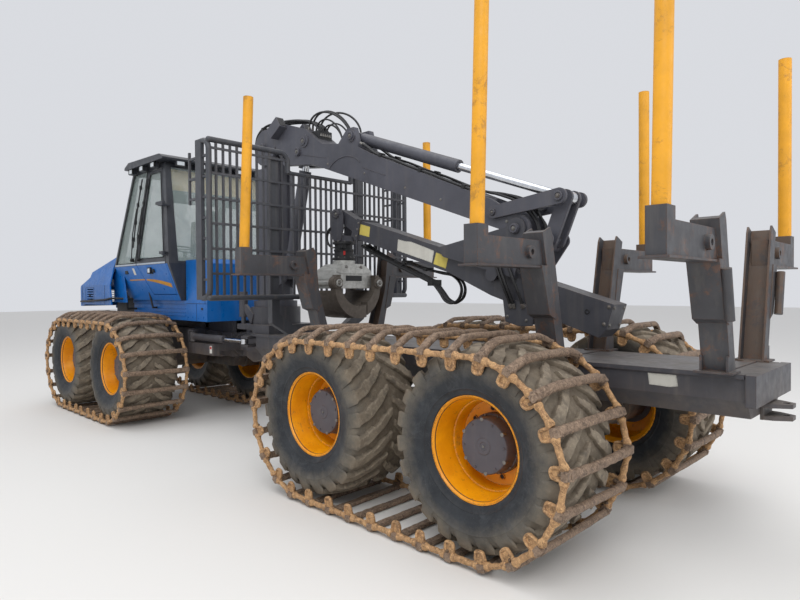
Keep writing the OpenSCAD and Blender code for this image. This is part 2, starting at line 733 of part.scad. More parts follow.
roll_x = 1400;
module centre_joint() {
  arm_in = steer_cyl_y - 45;
  arm_out = steer_cyl_y + 45;
  color(steel) difference() {
    union() {
      pin_z(steer_x, 230, steer_z - 75 + seat_gap, steer_z + 75 - seat_gap);
      pin_z(steer_x, 90 - 2 * fit, 870, 1170);
      block(steer_x, roll_x, -110, 110, steer_z - 70, steer_z + 70);
      translate([roll_x - 20, 0, steer_z]) rotate([0, 90, 0]) cylinder(d = 340, h = 40);
      translate([roll_x, 0, steer_z]) rotate([0, 90, 0]) cylinder(d = 160, h = 220);
      // cross beam and side boxes that carry the steering cylinders
      block(roll_x - 75, roll_x - 10, -arm_out, arm_out, steer_z - 60, steer_z + 40);
      mirror_y() {
        block(roll_x - 75, steer_root_x + 95, arm_in, arm_out, steer_z - 120, steer_z + 30);
        block(steer_root_x + 70, steer_root_x + 95, arm_in, arm_out, steer_z + 10,
          steer_cyl_z + 96);
        block(steer_root_x - 60, steer_root_x + 95, arm_in, arm_out, steer_cyl_z + 70,
          steer_cyl_z + 96);
      }
    }
    mirror_y() translate([steer_root_x, steer_cyl_y, 960]) cylinder(d = 60, h = 400);
  }
}

front_low_z = 880;
front_high_z = 1240;
tow_eye_x = 5160;
hood_pin = [5045, 1505];
module front_frame() {
  color(steel) difference() {
    union() {
      block(roll_x + 20 + seat_gap, 1720, -185, 185, steer_z - 165, steer_z + 165);
      block(1700, 2120, -230, 230, steer_z - 180, steer_z + 180);
      block(2100, 5000, -400, 400, front_low_z, front_high_z);
      // tow eye
      side_slab(-20, 20) link_shape([5070, 1060], [tow_eye_x, 1060], 150, 100);
      side_slab(-300, 300) polygon([[4990, front_low_z], [5080, front_low_z + 80],
        [5080, front_high_z], [4990, front_high_z]]);
      pin_y([front_bogie_x, axle_z], 300, 8 - bogie_in, bogie_in - 8);
      side_slab(-380, 380) polygon([[front_bogie_x - 420, front_low_z + 1],
        [front_bogie_x - 170, axle_z - 60], [front_bogie_x + 170, axle_z - 60],
        [front_bogie_x + 420, front_low_z + 1]]);
      mirror_y() pin_y([front_bogie_x, axle_z], 180, 370, bogie_out - 50);
      // supports of the body and steps
      mirror_y() {
        block(1440, 2130, 100, 150, steer_z + 160, body_low_z - seat_gap);
        block(2120, 3650, 200, 250, front_high_z - 10, body_low_z - seat_gap);
        // hinge of the hood
        side_slab(262, 294) polygon([[4960, front_high_z - 10], [5078, front_high_z - 10],
          hood_pin + [18, 0], hood_pin + [0, 18], hood_pin + [-18, 0]]);
        pin_y(hood_pin, 24, 270, 364);
      }
    }
    translate([roll_x, 0, steer_z]) rotate([0, 90, 0]) cylinder(d = 160 + 2 * fit, h = 225);
    pin_y([tow_eye_x, 1060], 50, -100, 100);
  }
}

module engine() {
  color([0.3, 0.3, 0.3]) block(3860, 4950, -380, 380, front_high_z, 1760);
}

step_half = track_half - track_w / 2 - 17;
body_half = 610;
body_rear_x = 1310;
body_low_z = 1360;
// Blue body behind the cab and the steps and mudguards under it
module body_panels() {
  color(blue) {
    side_slab(-body_half, body_half) polygon([[body_rear_x, body_low_z],
      [cab_rear_x - 8, body_low_z], [cab_rear_x - 8, 2200], [body_rear_x + 60, 2200],
      [body_rear_x, 2140]]);
    block(cab_rear_x - 10, 3700, -step_half, step_half, body_low_z, 1610);
    for (z = [1592, 1612])
      block(cab_rear_x - 10, 3690, -630 + z / 80, 630 - z / 80, z, z + 28 - seat_gap);
  }
}

// Cab: side outline and cross outline, drawn smaller by t
function cab_side(t) = [[cab_rear_x + 30 + t, cab_floor_z - 60 + t], [cab_rear_x + t, sill_z],
  [cab_rear_x + 210 + t, cab_top_z - t], [3180 - t, cab_top_z - t], [3800 - t, sill_z + 5],
  [3680 - t, cab_floor_z - 60 + t]];
function cab_cross(t) = [[-655 + t, cab_floor_z - 60 + t], [-cab_half + t, sill_z],
  [-790 + t, cab_top_z - t], [790 - t, cab_top_z - t], [cab_half - t, sill_z],
  [655 - t, cab_floor_z - 60 + t]];
module cab_form(t) {
  intersection() {
    side_slab(-1000, 1000) polygon(cab_side(t));
    cross_slab(1500, 4200) polygon(cab_cross(t));
  }
}

// Slanting upright lines of the cab's side as X over the height z
win_low = sill_z + 32;
win_top = cab_top_z - 50;
function rear_line(z) = cab_rear_x + 100 + 190 * max(0, z - sill_z) / (cab_top_z - sill_z);
function mid_line(z) = z > sill_z ? 2970 - 370 * (z - sill_z) / (cab_top_z - sill_z)
  : 2750 + 220 * (z - cab_floor_z) / (sill_z - cab_floor_z);
function front_line(z) = 3735 - 620 * (z - sill_z) / (cab_top_z - sill_z);

// Door opening, smaller by g, with g_low at its lower front corner
module door_cut(g, g_low) {
  low = cab_floor_z + 20 + g;
  top = win_top - g;
  side_slab(560, 1000) polygon([[rear_line(low) + g, low], [rear_line(sill_z) + g, sill_z],
    [rear_line(top) + g, top], [mid_line(top) - g, top], [mid_line(sill_z) - g, sill_z],
    [mid_line(low) - g_low, low]]);
}
// Panes: rear side pane and front side pane, smaller by g
module rear_pane(g) {
  low = win_low + g;
  top = win_top - g;
  side_slab(560, 1000) polygon([[rear_line(low) + g, low], [rear_line(top) + g, top],
    [mid_line(top) - g, top], [mid_line(low) - g, low]]);
}
module front_pane(g) {
  low = win_low + g;
  top = win_top - g;
  side_slab(560, 1000) polygon([[mid_line(low) + 50 + g, low], [mid_line(top) + 50 + g, top],
    [front_line(top) - g, top], [front_line(low) - g, low]]);
}
module rear_window(g) {
  block(cab_rear_x - 100, cab_rear_x + 450, -715 + g, 715 - g, win_low + g, win_top - g);
}
module windscreen(g) {
  block(3000, 3900, -715 + g, 715 - g, sill_z + 80 + g, win_top - g);
}

hinge_x = 1960;
hinge_y = 900;
// Hinges of the door: [height, front end of the lug, front end of the knuckle's arm]
hinge_table = [[2262, 1985, 2064], [2945, 2080, 2158]];
module cab() {
  color(steel) difference() {
    cab_form(0);
    cab_form(cab_wall);
    door_cut(0, 0);
    rear_window(0);
    windscreen(0);
    mirror_y() front_pane(0);
    mirror([0, 1, 0]) rear_pane(0);
  }
  // hinge lugs and pins of the door
  color(steel) for (h = hinge_table) {
    block(hinge_x - 16, h[1], 790, hinge_y + 16, h[0], h[0] + 20);
    translate([hinge_x, hinge_y, h[0]]) cylinder(d = 16, h = 66);
  }
}

module cab_door() {
  color(blue) difference() {
    intersection() {
      difference() {
        cab_form(0);
        cab_form(24);
      }
      door_cut(12, 16);
    }
    rear_pane(55);
  }
  color(steel) for (h = hinge_table) difference() {
    union() {
      block(hinge_x - 10, h[2], hinge_y - 28, hinge_y + 12, h[0] + 20 + seat_gap, h[0] + 60);
      block(h[2] - 34, h[2], 795, hinge_y + 12, h[0] + 20 + seat_gap, h[0] + 60);
      translate([hinge_x, hinge_y, h[0] + 20 + seat_gap]) cylinder(d = 30, h = 40 - seat_gap);
    }
    translate([hinge_x, hinge_y, h[0]]) cylinder(d = 16 + 2 * fit, h = 80);
  }
}

module door_glass() {
  color([0.6, 0.7, 0.7, 0.4]) intersection() {
    difference() {
      cab_form(8);
      cab_form(14);
    }
    rear_pane(55 + seat_gap);
  }
}

module cab_glass() {
  color([0.6, 0.7, 0.7, 0.4]) intersection() {
    difference() {
      cab_form(12);
      cab_form(20);
    }
    union() {
      rear_window(seat_gap);
      windscreen(seat_gap);
      mirror_y() front_pane(seat_gap);
      mirror([0, 1, 0]) rear_pane(seat_gap);
    }
  }
}

module cab_roof() {
  top = cab_top_z;
  color([0.25, 0.25, 0.27]) {
    side_slab(-900, 900) polygon([[1960, top + 26], [1950, top + 50], [2060, top + 104],
      [3090, top + 124], [3225, top + 70], [3240, top + 40], [3215, top + 26]]);
    block(cab_rear_x + 225, 3160, -770, 770, top + seat_gap, top + 30);
    // boxes of the work lamps: [X, Y]
    for (at = [[1975, 250], [1975, 560], [3204, 250], [3204, 560]]) mirror_y()
      block(at[0], at[0] + 46, at[1], at[1] + 130, top - 40, top + 30);
    mirror_y() for (x = [2250, 2620, 2990])
      block(x, x + 130, 815, 880, top - 50, top + 30);
  }
}

module seat() {
  color([0.15, 0.15, 0.16]) {
    block(2500, 2900, -200, 200, cab_floor_z - 15 + 0.3, 1950);
    block(2380, 2950, -260, 260, 1950, 2090);
    side_slab(-250, 250) polygon([[2380, 2000], [2500, 2000], [2430, 2800], [2310, 2800]]);
  }
}

// Hood: a shell drawn smaller by t, open below and behind, hinged at its lower front edge
hood_low_z = 1560;
module hood_form(t) {
  intersection() {
    side_slab(-1000, 1000) polygon([[3715 - t * 4, hood_low_z - t * 3], [3725 - t * 4, 1640],
      [3830 - t * 4, sill_z], [3775 - t * 4, 2330 - t], [4700 - t, 2096 - t],
      [4725 - t, 2008 - t], [hood_front_x - 15 - t, 1870 - t], [hood_front_x - t, 1840 - t],
      [hood_front_x - t, hood_low_z - 30 - t * 3], [4960, hood_low_z - 30 - t * 3],
      [4900, hood_low_z - t * 3]]);
    cross_slab(3500, 5200) polygon([[-hood_half + t, 1300], [-hood_half + t, 1880],
      [-800 + t, 2340], [800 - t, 2340], [hood_half - t, 1880], [hood_half - t, 1300]]);
  }
}
module hood() {
  color(blue) {
    difference() {
      hood_form(0);
      hood_form(20);
      // grille and side air inlets
      block(hood_front_x - 40, hood_front_x + 10, -560, 560, 1600, 1800);
      mirror_y() for (i = [0 : 4])
        block(4480, 4760, 880, 1000, 1640 + i * 40, 1658 + i * 40);
    }
    for (i = [0 : 5])
      block(hood_front_x - 16, hood_front_x - 8, -562, 562, 1610 + i * 34, 1622 + i * 34);
    mirror_y() difference() {
      union() {
        pin_y(hood_pin, 46, 300, 358);
        block(hood_pin[0] + 5, hood_front_x, 300, 358, hood_pin[1] - 10, hood_low_z + 20);
      }
      pin_y(hood_pin, 24 + 2 * fit, 290, 370);
    }
  }
}

// Steering cylinders, drawn on the left
steer_barrel_len = 840;
module steer_barrel(side) {
  root = [steer_root_x, steer_cyl_y, steer_cyl_z];
  color(steel) mirror([0, side < 0 ? 1 : 0, 0]) difference() {
    union() {
      tube(root, root - [steer_barrel_len, 0, 0], 100);
      translate(root) cylinder(d = 112, h = 130, center = true);
      translate(root) cylinder(d = 60 - 2 * fit, h = 186, center = true);
    }
    tube(root - [66, 0, 0], root - [steer_barrel_len + 10, 0, 0], 52);
  }
}

module steer_rod(side) {
  root = [steer_root_x, steer_cyl_y, steer_cyl_z];
  eye = [steer_eye_x, steer_cyl_y, steer_cyl_z];
  color(chrome) mirror([0, side < 0 ? 1 : 0, 0]) {
    tube(root - [430, 0, 0], eye, 50);
    translate(eye) cylinder(d = 96, h = 60, center = true);
  }
}

module steer_barrel_left() steer_barrel(1);
module steer_barrel_right() steer_barrel(-1);
module steer_rod_left() steer_rod(1);
module steer_rod_right() steer_rod(-1);

// The whole machine, raised onto the shoes under its tyres
module standing() {
  translate([0, 0, stance]) children();
}

standing() rear_frame();
standing() frame_neck();
standing() hitch_jaws();
standing() bunk_front();
standing() bunk_middle();
standing() bunk_rear();
standing() stakes();
standing() headboard();
standing() crane_base();
standing() rear_left_bogie();
standing() rear_right_bogie();
standing() front_left_bogie();
standing() front_right_bogie();
standing() rear_left_track();
standing() rear_right_track();
standing() front_left_track();
standing() front_right_track();
standing() wheel_1_left();
standing() wheel_1_right();
standing() wheel_2_left();
standing() wheel_2_right();
standing() wheel_3_left();
standing() wheel_3_right();
standing() wheel_4_left();
standing() wheel_4_right();
standing() centre_joint();
standing() front_frame();
standing() engine();
standing() body_panels();
standing() cab();
standing() cab_glass();
standing() cab_roof();
standing() seat();
standing() cab_door();
standing() door_glass();
standing() hood();
standing() steer_barrel_left();
standing() steer_rod_left();
standing() steer_barrel_right();
standing() steer_rod_right();
standing() pillar();
standing() boom();
standing() stick();
standing() extension();
standing() lift_barrel();
standing() lift_rod();
standing() stick_barrel();
standing() stick_rod();
standing() knuckle_rocker();
standing() knuckle_tie();
standing() tip_link();
standing() grapple_head();
standing() claw_left();
standing() claw_right();
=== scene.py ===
"""Looks of the forestry forwarder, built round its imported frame. Lengths are in metres."""
import math
import random

import bmesh
import bpy
from mathutils import Matrix, Vector, noise


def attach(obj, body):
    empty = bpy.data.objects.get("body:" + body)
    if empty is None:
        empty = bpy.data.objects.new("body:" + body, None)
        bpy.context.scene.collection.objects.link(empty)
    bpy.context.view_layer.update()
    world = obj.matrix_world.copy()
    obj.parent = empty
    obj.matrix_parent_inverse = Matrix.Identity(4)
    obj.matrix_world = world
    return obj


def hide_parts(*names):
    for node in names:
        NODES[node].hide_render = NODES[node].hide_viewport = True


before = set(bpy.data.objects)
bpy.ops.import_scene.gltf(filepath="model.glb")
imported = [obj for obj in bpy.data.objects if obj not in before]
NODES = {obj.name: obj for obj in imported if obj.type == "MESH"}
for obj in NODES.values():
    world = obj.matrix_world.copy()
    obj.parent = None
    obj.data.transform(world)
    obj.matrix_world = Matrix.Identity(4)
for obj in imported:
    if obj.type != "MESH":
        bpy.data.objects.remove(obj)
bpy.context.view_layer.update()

# Camera

PHOTO_W = 800
FOCAL_PX = 602.8
SENSOR_MM = 36
CAMERA_AT = Vector((-6.083, 4.577, 1.8275))
YAW = 0.8022
PITCH = 0.0165
ROLL = -0.0064


def make_camera():
    """The camera that was fitted to the machine in the photo."""
    look = Vector((math.cos(YAW) * math.cos(PITCH), -math.sin(YAW) * math.cos(PITCH), -math.sin(PITCH)))
    right = Vector((-math.sin(YAW), -math.cos(YAW), 0))
    up = right.cross(look)
    right_rolled = right * math.cos(ROLL) + up * math.sin(ROLL)
    up_rolled = up * math.cos(ROLL) - right * math.sin(ROLL)
    turn = Matrix((right_rolled, up_rolled, -look)).transposed()
    data = bpy.data.cameras.new("photo_camera")
    data.sensor_width = SENSOR_MM
    data.lens = FOCAL_PX / PHOTO_W * SENSOR_MM
    data.clip_end = 300
    camera = bpy.data.objects.new("photo_camera", data)
    camera.matrix_world = Matrix.Translation(CAMERA_AT) @ turn.to_4x4()
    bpy.context.scene.collection.objects.link(camera)
    bpy.context.scene.camera = camera


make_camera()


# Shader building

class Shader:
    """A material with short calls for the nodes it is made of."""

    def __init__(self, name):
        self.mat = bpy.data.materials.new(name)
        self.mat.use_nodes = True
        self.tree = self.mat.node_tree
        self.bsdf = self.tree.nodes["Principled BSDF"]
        self.coord = self.tree.nodes.new("ShaderNodeTexCoord").outputs["Object"]

    def wire(self, socket, value):
        if isinstance(value, bpy.types.NodeSocket):
            self.tree.links.new(value, socket)
        else:
            socket.default_value = value

    def set(self, **values):
        names = {"color": "Base Color", "rough": "Roughness", "metal": "Metallic", "normal": "Normal",
                 "coat": "Coat Weight", "spec": "Specular IOR Level", "alpha": "Alpha",
                 "through": "Transmission Weight", "glow": "Emission Color", "power": "Emission Strength",
                 "coat_rough": "Coat Roughness", "ior": "IOR"}
        for key, value in values.items():
            if key in ("color", "glow") and isinstance(value, tuple) and len(value) == 3:
                value = (*value, 1)
            self.wire(self.bsdf.inputs[names[key]], value)
        return self

    def noise(self, scale, detail=5, rough=0.6, stretch=(1, 1, 1), twist=0.0):
        place = self.tree.nodes.new("ShaderNodeMapping")
        place.inputs["Scale"].default_value = stretch
        self.wire(place.inputs["Vector"], self.coord)
        tex = self.tree.nodes.new("ShaderNodeTexNoise")
        tex.inputs["Scale"].default_value = scale
        tex.inputs["Detail"].default_value = detail
        tex.inputs["Roughness"].default_value = rough
        tex.inputs["Distortion"].default_value = twist
        self.wire(tex.inputs["Vector"], place.outputs[0])
        return tex.outputs["Fac"]

    def span(self, value, low, high, to_low=0.0, to_high=1.0):
        node = self.tree.nodes.new("ShaderNodeMapRange")
        node.clamp = True
        self.wire(node.inputs["Value"], value)
        for key, number in (("From Min", low), ("From Max", high), ("To Min", to_low), ("To Max", to_high)):
            node.inputs[key].default_value = number
        return node.outputs["Result"]

    def math(self, what, a, b=0.5):
        node = self.tree.nodes.new("ShaderNodeMath")
        node.operation = what
        self.wire(node.inputs[0], a)
        self.wire(node.inputs[1], b)
        return node.outputs[0]

    def times(self, a, b):
        return self.math("MULTIPLY", a, b)

    def cloud(self, scale, detail, rough, low, high, to_low=0.0, to_high=1.0, **more):
        """Noise, spread so that it goes from one level to the other between low and high."""
        return self.span(self.noise(scale, detail, rough, **more), low, high, to_low, to_high)

    def over(self, color, top, share, amount):
        """A colour with another one laid over it by a share of an amount."""
        return self.mix(self.times(share, amount), color, top)

    def mix(self, share, a, b):
        node = self.tree.nodes.new("ShaderNodeMix")
        node.data_type = "RGBA"
        self.wire(node.inputs["Factor"], share)
        self.wire(node.inputs["A"], (*a, 1) if isinstance(a, tuple) else a)
        self.wire(node.inputs["B"], (*b, 1) if isinstance(b, tuple) else b)
        return node.outputs["Result"]

    def part(self, axis):
        node = self.tree.nodes.new("ShaderNodeSeparateXYZ")
        self.wire(node.inputs[0], self.coord)
        return node.outputs[axis]

    def facing(self, axis):
        """How far the surface faces along an axis."""
        node = self.tree.nodes.new("ShaderNodeNewGeometry")
        split = self.tree.nodes.new("ShaderNodeSeparateXYZ")
        self.wire(split.inputs[0], node.outputs["Normal"])
        return split.outputs[axis]

    def soft_edges(self, radius):
        node = self.tree.nodes.new("ShaderNodeBevel")
        node.samples = 4
        node.inputs["Radius"].default_value = radius
        return node.outputs["Normal"]

    def edge(self, radius=0.012):
        """How near a point is to a sharp edge, from 0 on a flat to about 1 on the edge."""
        soft = self.soft_edges(radius)
        true = self.tree.nodes.new("ShaderNodeNewGeometry").outputs["Normal"]
        dot = self.tree.nodes.new("ShaderNodeVectorMath")
        dot.operation = "DOT_PRODUCT"
        self.wire(dot.inputs[0], soft)
        self.wire(dot.inputs[1], true)
        return self.span(dot.outputs["Value"], 0.995, 0.8)

    def bump(self, height, strength=0.3, distance=0.01, normal=None):
        node = self.tree.nodes.new("ShaderNodeBump")
        node.inputs["Strength"].default_value = strength
        node.inputs["Distance"].default_value = distance
        self.wire(node.inputs["Height"], height)
        if normal is not None:
            self.wire(node.inputs["Normal"], normal)
        return self.set(normal=node.outputs["Normal"])


def srgb(r, g, b):
    """A colour given as it looks on a screen, 0 to 255, as linear values."""
    return tuple((v / 255 / 12.92) if v <= 10 else ((v / 255 + 0.055) / 1.055) ** 2.4 for v in (r, g, b))


def shade(color, by, add=0.0):
    return tuple(v * by + add for v in color)


BLUE = srgb(4, 104, 186)
# Where the cab's two colours meet, on the lifted machine, and the cab's rear end
SILL_Z = 2.215
CAB_REAR_X = 1.9
MUD = srgb(122, 104, 84)
DUST = srgb(128, 120, 110)
RUST = srgb(92, 62, 44)


def painted(name, base, wear=0.35, grime=0.35, rust=RUST, rough=0.45, low=0.9, worn_to=None, lower=None,
            inner=None, patch=0.0):
    """Weathered paint: faded patches, streaks, dust on flats, mud low down and bare edges.

    lower is (height, rear end, colour): the colour under that height, in front of that rear end.
    inner is the colour of the sides that face the load between the two halves.
    patch is how far the large worn spots show."""
    s = Shader(name)
    patches = s.cloud(2.3, 6, 0.65, 0.35, 0.7)
    faded = shade(base, 0.82, 0.016)
    deep = shade(base, 0.72)
    color = s.mix(patches, deep, base)
    if lower:
        height, rear, other = lower
        under = s.math("LESS_THAN", s.part(2), height)
        ahead = s.math("GREATER_THAN", s.part(0), rear)
        share = s.times(under, ahead)
        color = s.mix(share, color, other)
        faded = s.mix(share, faded, shade(other, 0.82, 0.016))
    color = s.over(color, faded, s.cloud(9, 8, 0.7, 0.45, 0.75), 0.5)
    if inner:
        turned = s.times(s.facing(1), s.math("SIGN", s.part(1)))
        rubbed = s.times(s.span(turned, -0.35, -0.8), s.cloud(7, 9, 0.75, 0.30, 0.50))
        color = s.over(color, inner, rubbed, 0.85)
    streak = s.cloud(14, 4, 0.6, 0.52, 0.78, stretch=(1, 1, 0.08))
    color = s.over(color, DUST, streak, grime * 0.5)
    flat = s.span(s.facing(2), 0.55, 0.98)
    dust = s.times(flat, s.cloud(5, 8, 0.7, 0.3, 0.7, 0.25, 1))
    color = s.over(color, DUST, dust, grime)
    fine = s.noise(55, 8, 0.75)
    near_ground = s.span(s.part(2), low, low * 0.35)
    mud = s.times(near_ground, s.cloud(7, 10, 0.75, 0.3, 0.62))
    color = s.mix(mud, color, MUD)
    edge = s.times(s.edge(0.014), s.span(fine, 0.42, 0.62))
    chips = s.cloud(28, 9, 0.8, 0.68, 0.72)
    bare = s.math("MAXIMUM", s.times(edge, wear), s.times(chips, wear * 0.7))
    color = s.mix(bare, color, worn_to or rust)
    if patch:
        worn = s.cloud(5, 11, 0.82, 0.54, 0.60, twist=0.4)
        tone = s.mix(s.cloud(13, 8, 0.7, 0.4, 0.62), rust, shade(rust, 1.9))
        color = s.over(color, tone, worn, patch)
    shine = s.cloud(12, 6, 0.6, 0.3, 0.7, rough - 0.08, rough + 0.16)
    s.set(color=color, rough=s.math("MAXIMUM", shine, s.times(dust, 0.75)))
    s.bump(s.noise(90, 6, 0.6), 0.12, 0.004, s.soft_edges(0.006))
    return s.mat


def bare_steel(name, base, rough=0.4, metal=0.85, spots=RUST, amount=0.4):
    s = Shader(name)
    brush = s.noise(30, 6, 0.6, stretch=(0.25, 1, 1))
    color = s.mix(s.span(brush, 0.35, 0.7), shade(base, 0.72), base)
    stain = s.cloud(11, 9, 0.75, 0.5, 0.72)
    color = s.over(color, spots, stain, amount)
    s.set(color=color, metal=s.span(stain, 0, 1, metal, metal * 0.5),
          rough=s.cloud(18, 6, 0.6, 0.3, 0.7, rough - 0.08, rough + 0.2))
    s.bump(s.noise(120, 6, 0.6), 0.15, 0.003, s.soft_edges(0.004))
    return s.mat


def chrome_rod():
    s = Shader("chrome_rod")
    haze = s.noise(25, 5, 0.6)
    s.set(color=s.mix(s.span(haze, 0.4, 0.7), srgb(205, 208, 212), srgb(232, 234, 238)), metal=1.0,
          rough=s.span(haze, 0.3, 0.7, 0.12, 0.28))
    return s.mat


def rubber_tyre():
    """Dark sidewall with rubbed rings, dustier towards the shoulder, and dry mud over the lugs, with
    painted shadow low down between them.
    """
    s = Shader("tyre_rubber")
    radius = s.tree.nodes.new("ShaderNodeAttribute")
    radius.attribute_name = "wheel_radius"
    wobble = s.times(s.math("SUBTRACT", s.noise(8, 8, 0.75), 0.5), 0.16)
    far = s.math("ADD", radius.outputs["Fac"], wobble)
    side = s.mix(s.cloud(6, 8, 0.7, 0.35, 0.7), srgb(34, 37, 41), srgb(54, 57, 61))
    rub = s.cloud(5, 9, 0.8, 0.5, 0.62, twist=0.8)
    side = s.over(side, srgb(78, 80, 83), rub, 0.4)
    scuff = s.cloud(42, 10, 0.8, 0.62, 0.70, twist=1.2)
    side = s.over(side, srgb(168, 166, 160), scuff, 0.5)
    haze = s.times(s.span(far, 0.47, 0.64), s.cloud(4, 9, 0.7, 0.25, 0.6, 0.45, 1.0))
    side = s.over(side, srgb(124, 115, 100), haze, 0.85)
    clay = s.mix(s.cloud(9, 10, 0.75, 0.35, 0.68), srgb(112, 101, 88), srgb(152, 140, 122))
    clay = s.mix(s.cloud(26, 10, 0.8, 0.52, 0.72), clay, srgb(172, 160, 140))
    worn = s.cloud(15, 6, 0.6, 0.54, 0.66)
    clay = s.over(clay, srgb(84, 80, 74), worn, 0.5)
    # Painted shadow: the mud on the tread is darkened low down between the lugs, in the grooves.
    groove_shadow = s.span(radius.outputs["Fac"], 0.690, 0.668)
    clay = s.over(clay, srgb(84, 74, 62), groove_shadow, 0.45)
    share = s.span(far, 0.60, 0.66)
    s.set(color=s.mix(share, side, clay), rough=s.span(share, 0, 1, 0.60, 0.92), spec=0.35)
    s.bump(s.math("ADD", s.noise(26, 8, 0.65), s.times(s.noise(160, 6, 0.6), 0.2)), 0.22, 0.006)
    return s.mat


def track_steel(name, light, dark):
    s = Shader(name)
    clump = s.cloud(16, 10, 0.78, 0.38, 0.66)
    color = s.mix(clump, dark, light)
    color = s.mix(s.cloud(70, 8, 0.7, 0.5, 0.68), color, tuple(min(1.0, v * 1.35) for v in light))
    dirt = s.cloud(30, 10, 0.8, 0.50, 0.60, twist=0.6)
    color = s.over(color, shade(dark, 0.32), dirt, 0.75)
    rub = s.times(s.edge(0.008), s.cloud(20, 6, 0.6, 0.42, 0.6))
    color = s.over(color, srgb(150, 140, 130), rub, 0.6)
    s.set(color=color, rough=s.span(clump, 0, 1, 0.6, 0.92), metal=s.span(rub, 0, 1, 0.0, 0.6))
    s.bump(s.math("ADD", s.noise(60, 10, 0.75), s.noise(14, 8, 0.7)), 0.55, 0.008)
    return s.mat


def rim_paint():
    """Orange-yellow paint, chipped on its lip and stained brown in its wells."""
    s = Shader("rim_paint")
    color = s.mix(s.cloud(5, 6, 0.6, 0.35, 0.7), srgb(226, 140, 0), srgb(250, 168, 8))
    stain = s.cloud(8, 10, 0.8, 0.57, 0.66, stretch=(1, 1, 0.5))
    color = s.over(color, srgb(128, 92, 56), stain, 0.7)
    chips = s.cloud(24, 10, 0.8, 0.6, 0.63)
    rim_edge = s.times(s.edge(0.02), s.cloud(40, 8, 0.8, 0.45, 0.55))
    color = s.mix(s.math("MAXIMUM", s.times(chips, 0.6), rim_edge), color, srgb(74, 54, 40))
    s.set(color=color, rough=s.span(stain, 0, 1, 0.38, 0.8))
    s.bump(s.noise(80, 8, 0.7), 0.15, 0.004)
    return s.mat


def plain(name, base, rough=0.5, vary=0.25, scale=14, bump=0.1):
    s = Shader(name)
    grain = s.span(s.noise(scale, 8, 0.7), 0.3, 0.7)
    s.set(color=s.mix(grain, shade(base, 1 - vary), base),
          rough=s.span(s.noise(scale * 2, 6), 0.3, 0.7, max(0.05, rough - 0.08), min(1, rough + 0.1)))
    s.bump(s.noise(scale * 9, 6, 0.6), bump, 0.003)
    return s.mat


def glass():
    s = Shader("window_glass")
    dirt = s.cloud(4, 9, 0.75, 0.35, 0.8, 0.05, 0.22)
    low_dust = s.span(s.part(2), 2.6, 2.15, 0, 0.2)
    s.set(color=srgb(168, 182, 178), rough=0.05, metal=0.0, spec=0.8,
          alpha=s.math("ADD", s.math("ADD", dirt, low_dust), 0.22))
    s.bump(s.noise(1.6, 3), 0.02, 0.01)
    return s.mat


def fabric(name, base):
    s = Shader(name)
    weave = s.tree.nodes.new("ShaderNodeTexWave")
    weave.inputs["Scale"].default_value = 90
    weave.inputs["Distortion"].default_value = 2
    s.wire(weave.inputs["Vector"], s.coord)
    worn = s.cloud(7, 8, 0.7, 0.4, 0.7)
    s.set(color=s.mix(worn, base, shade(base, 1.8, 0.01)), rough=0.92)
    s.bump(weave.outputs["Fac"], 0.3, 0.002)
    return s.mat


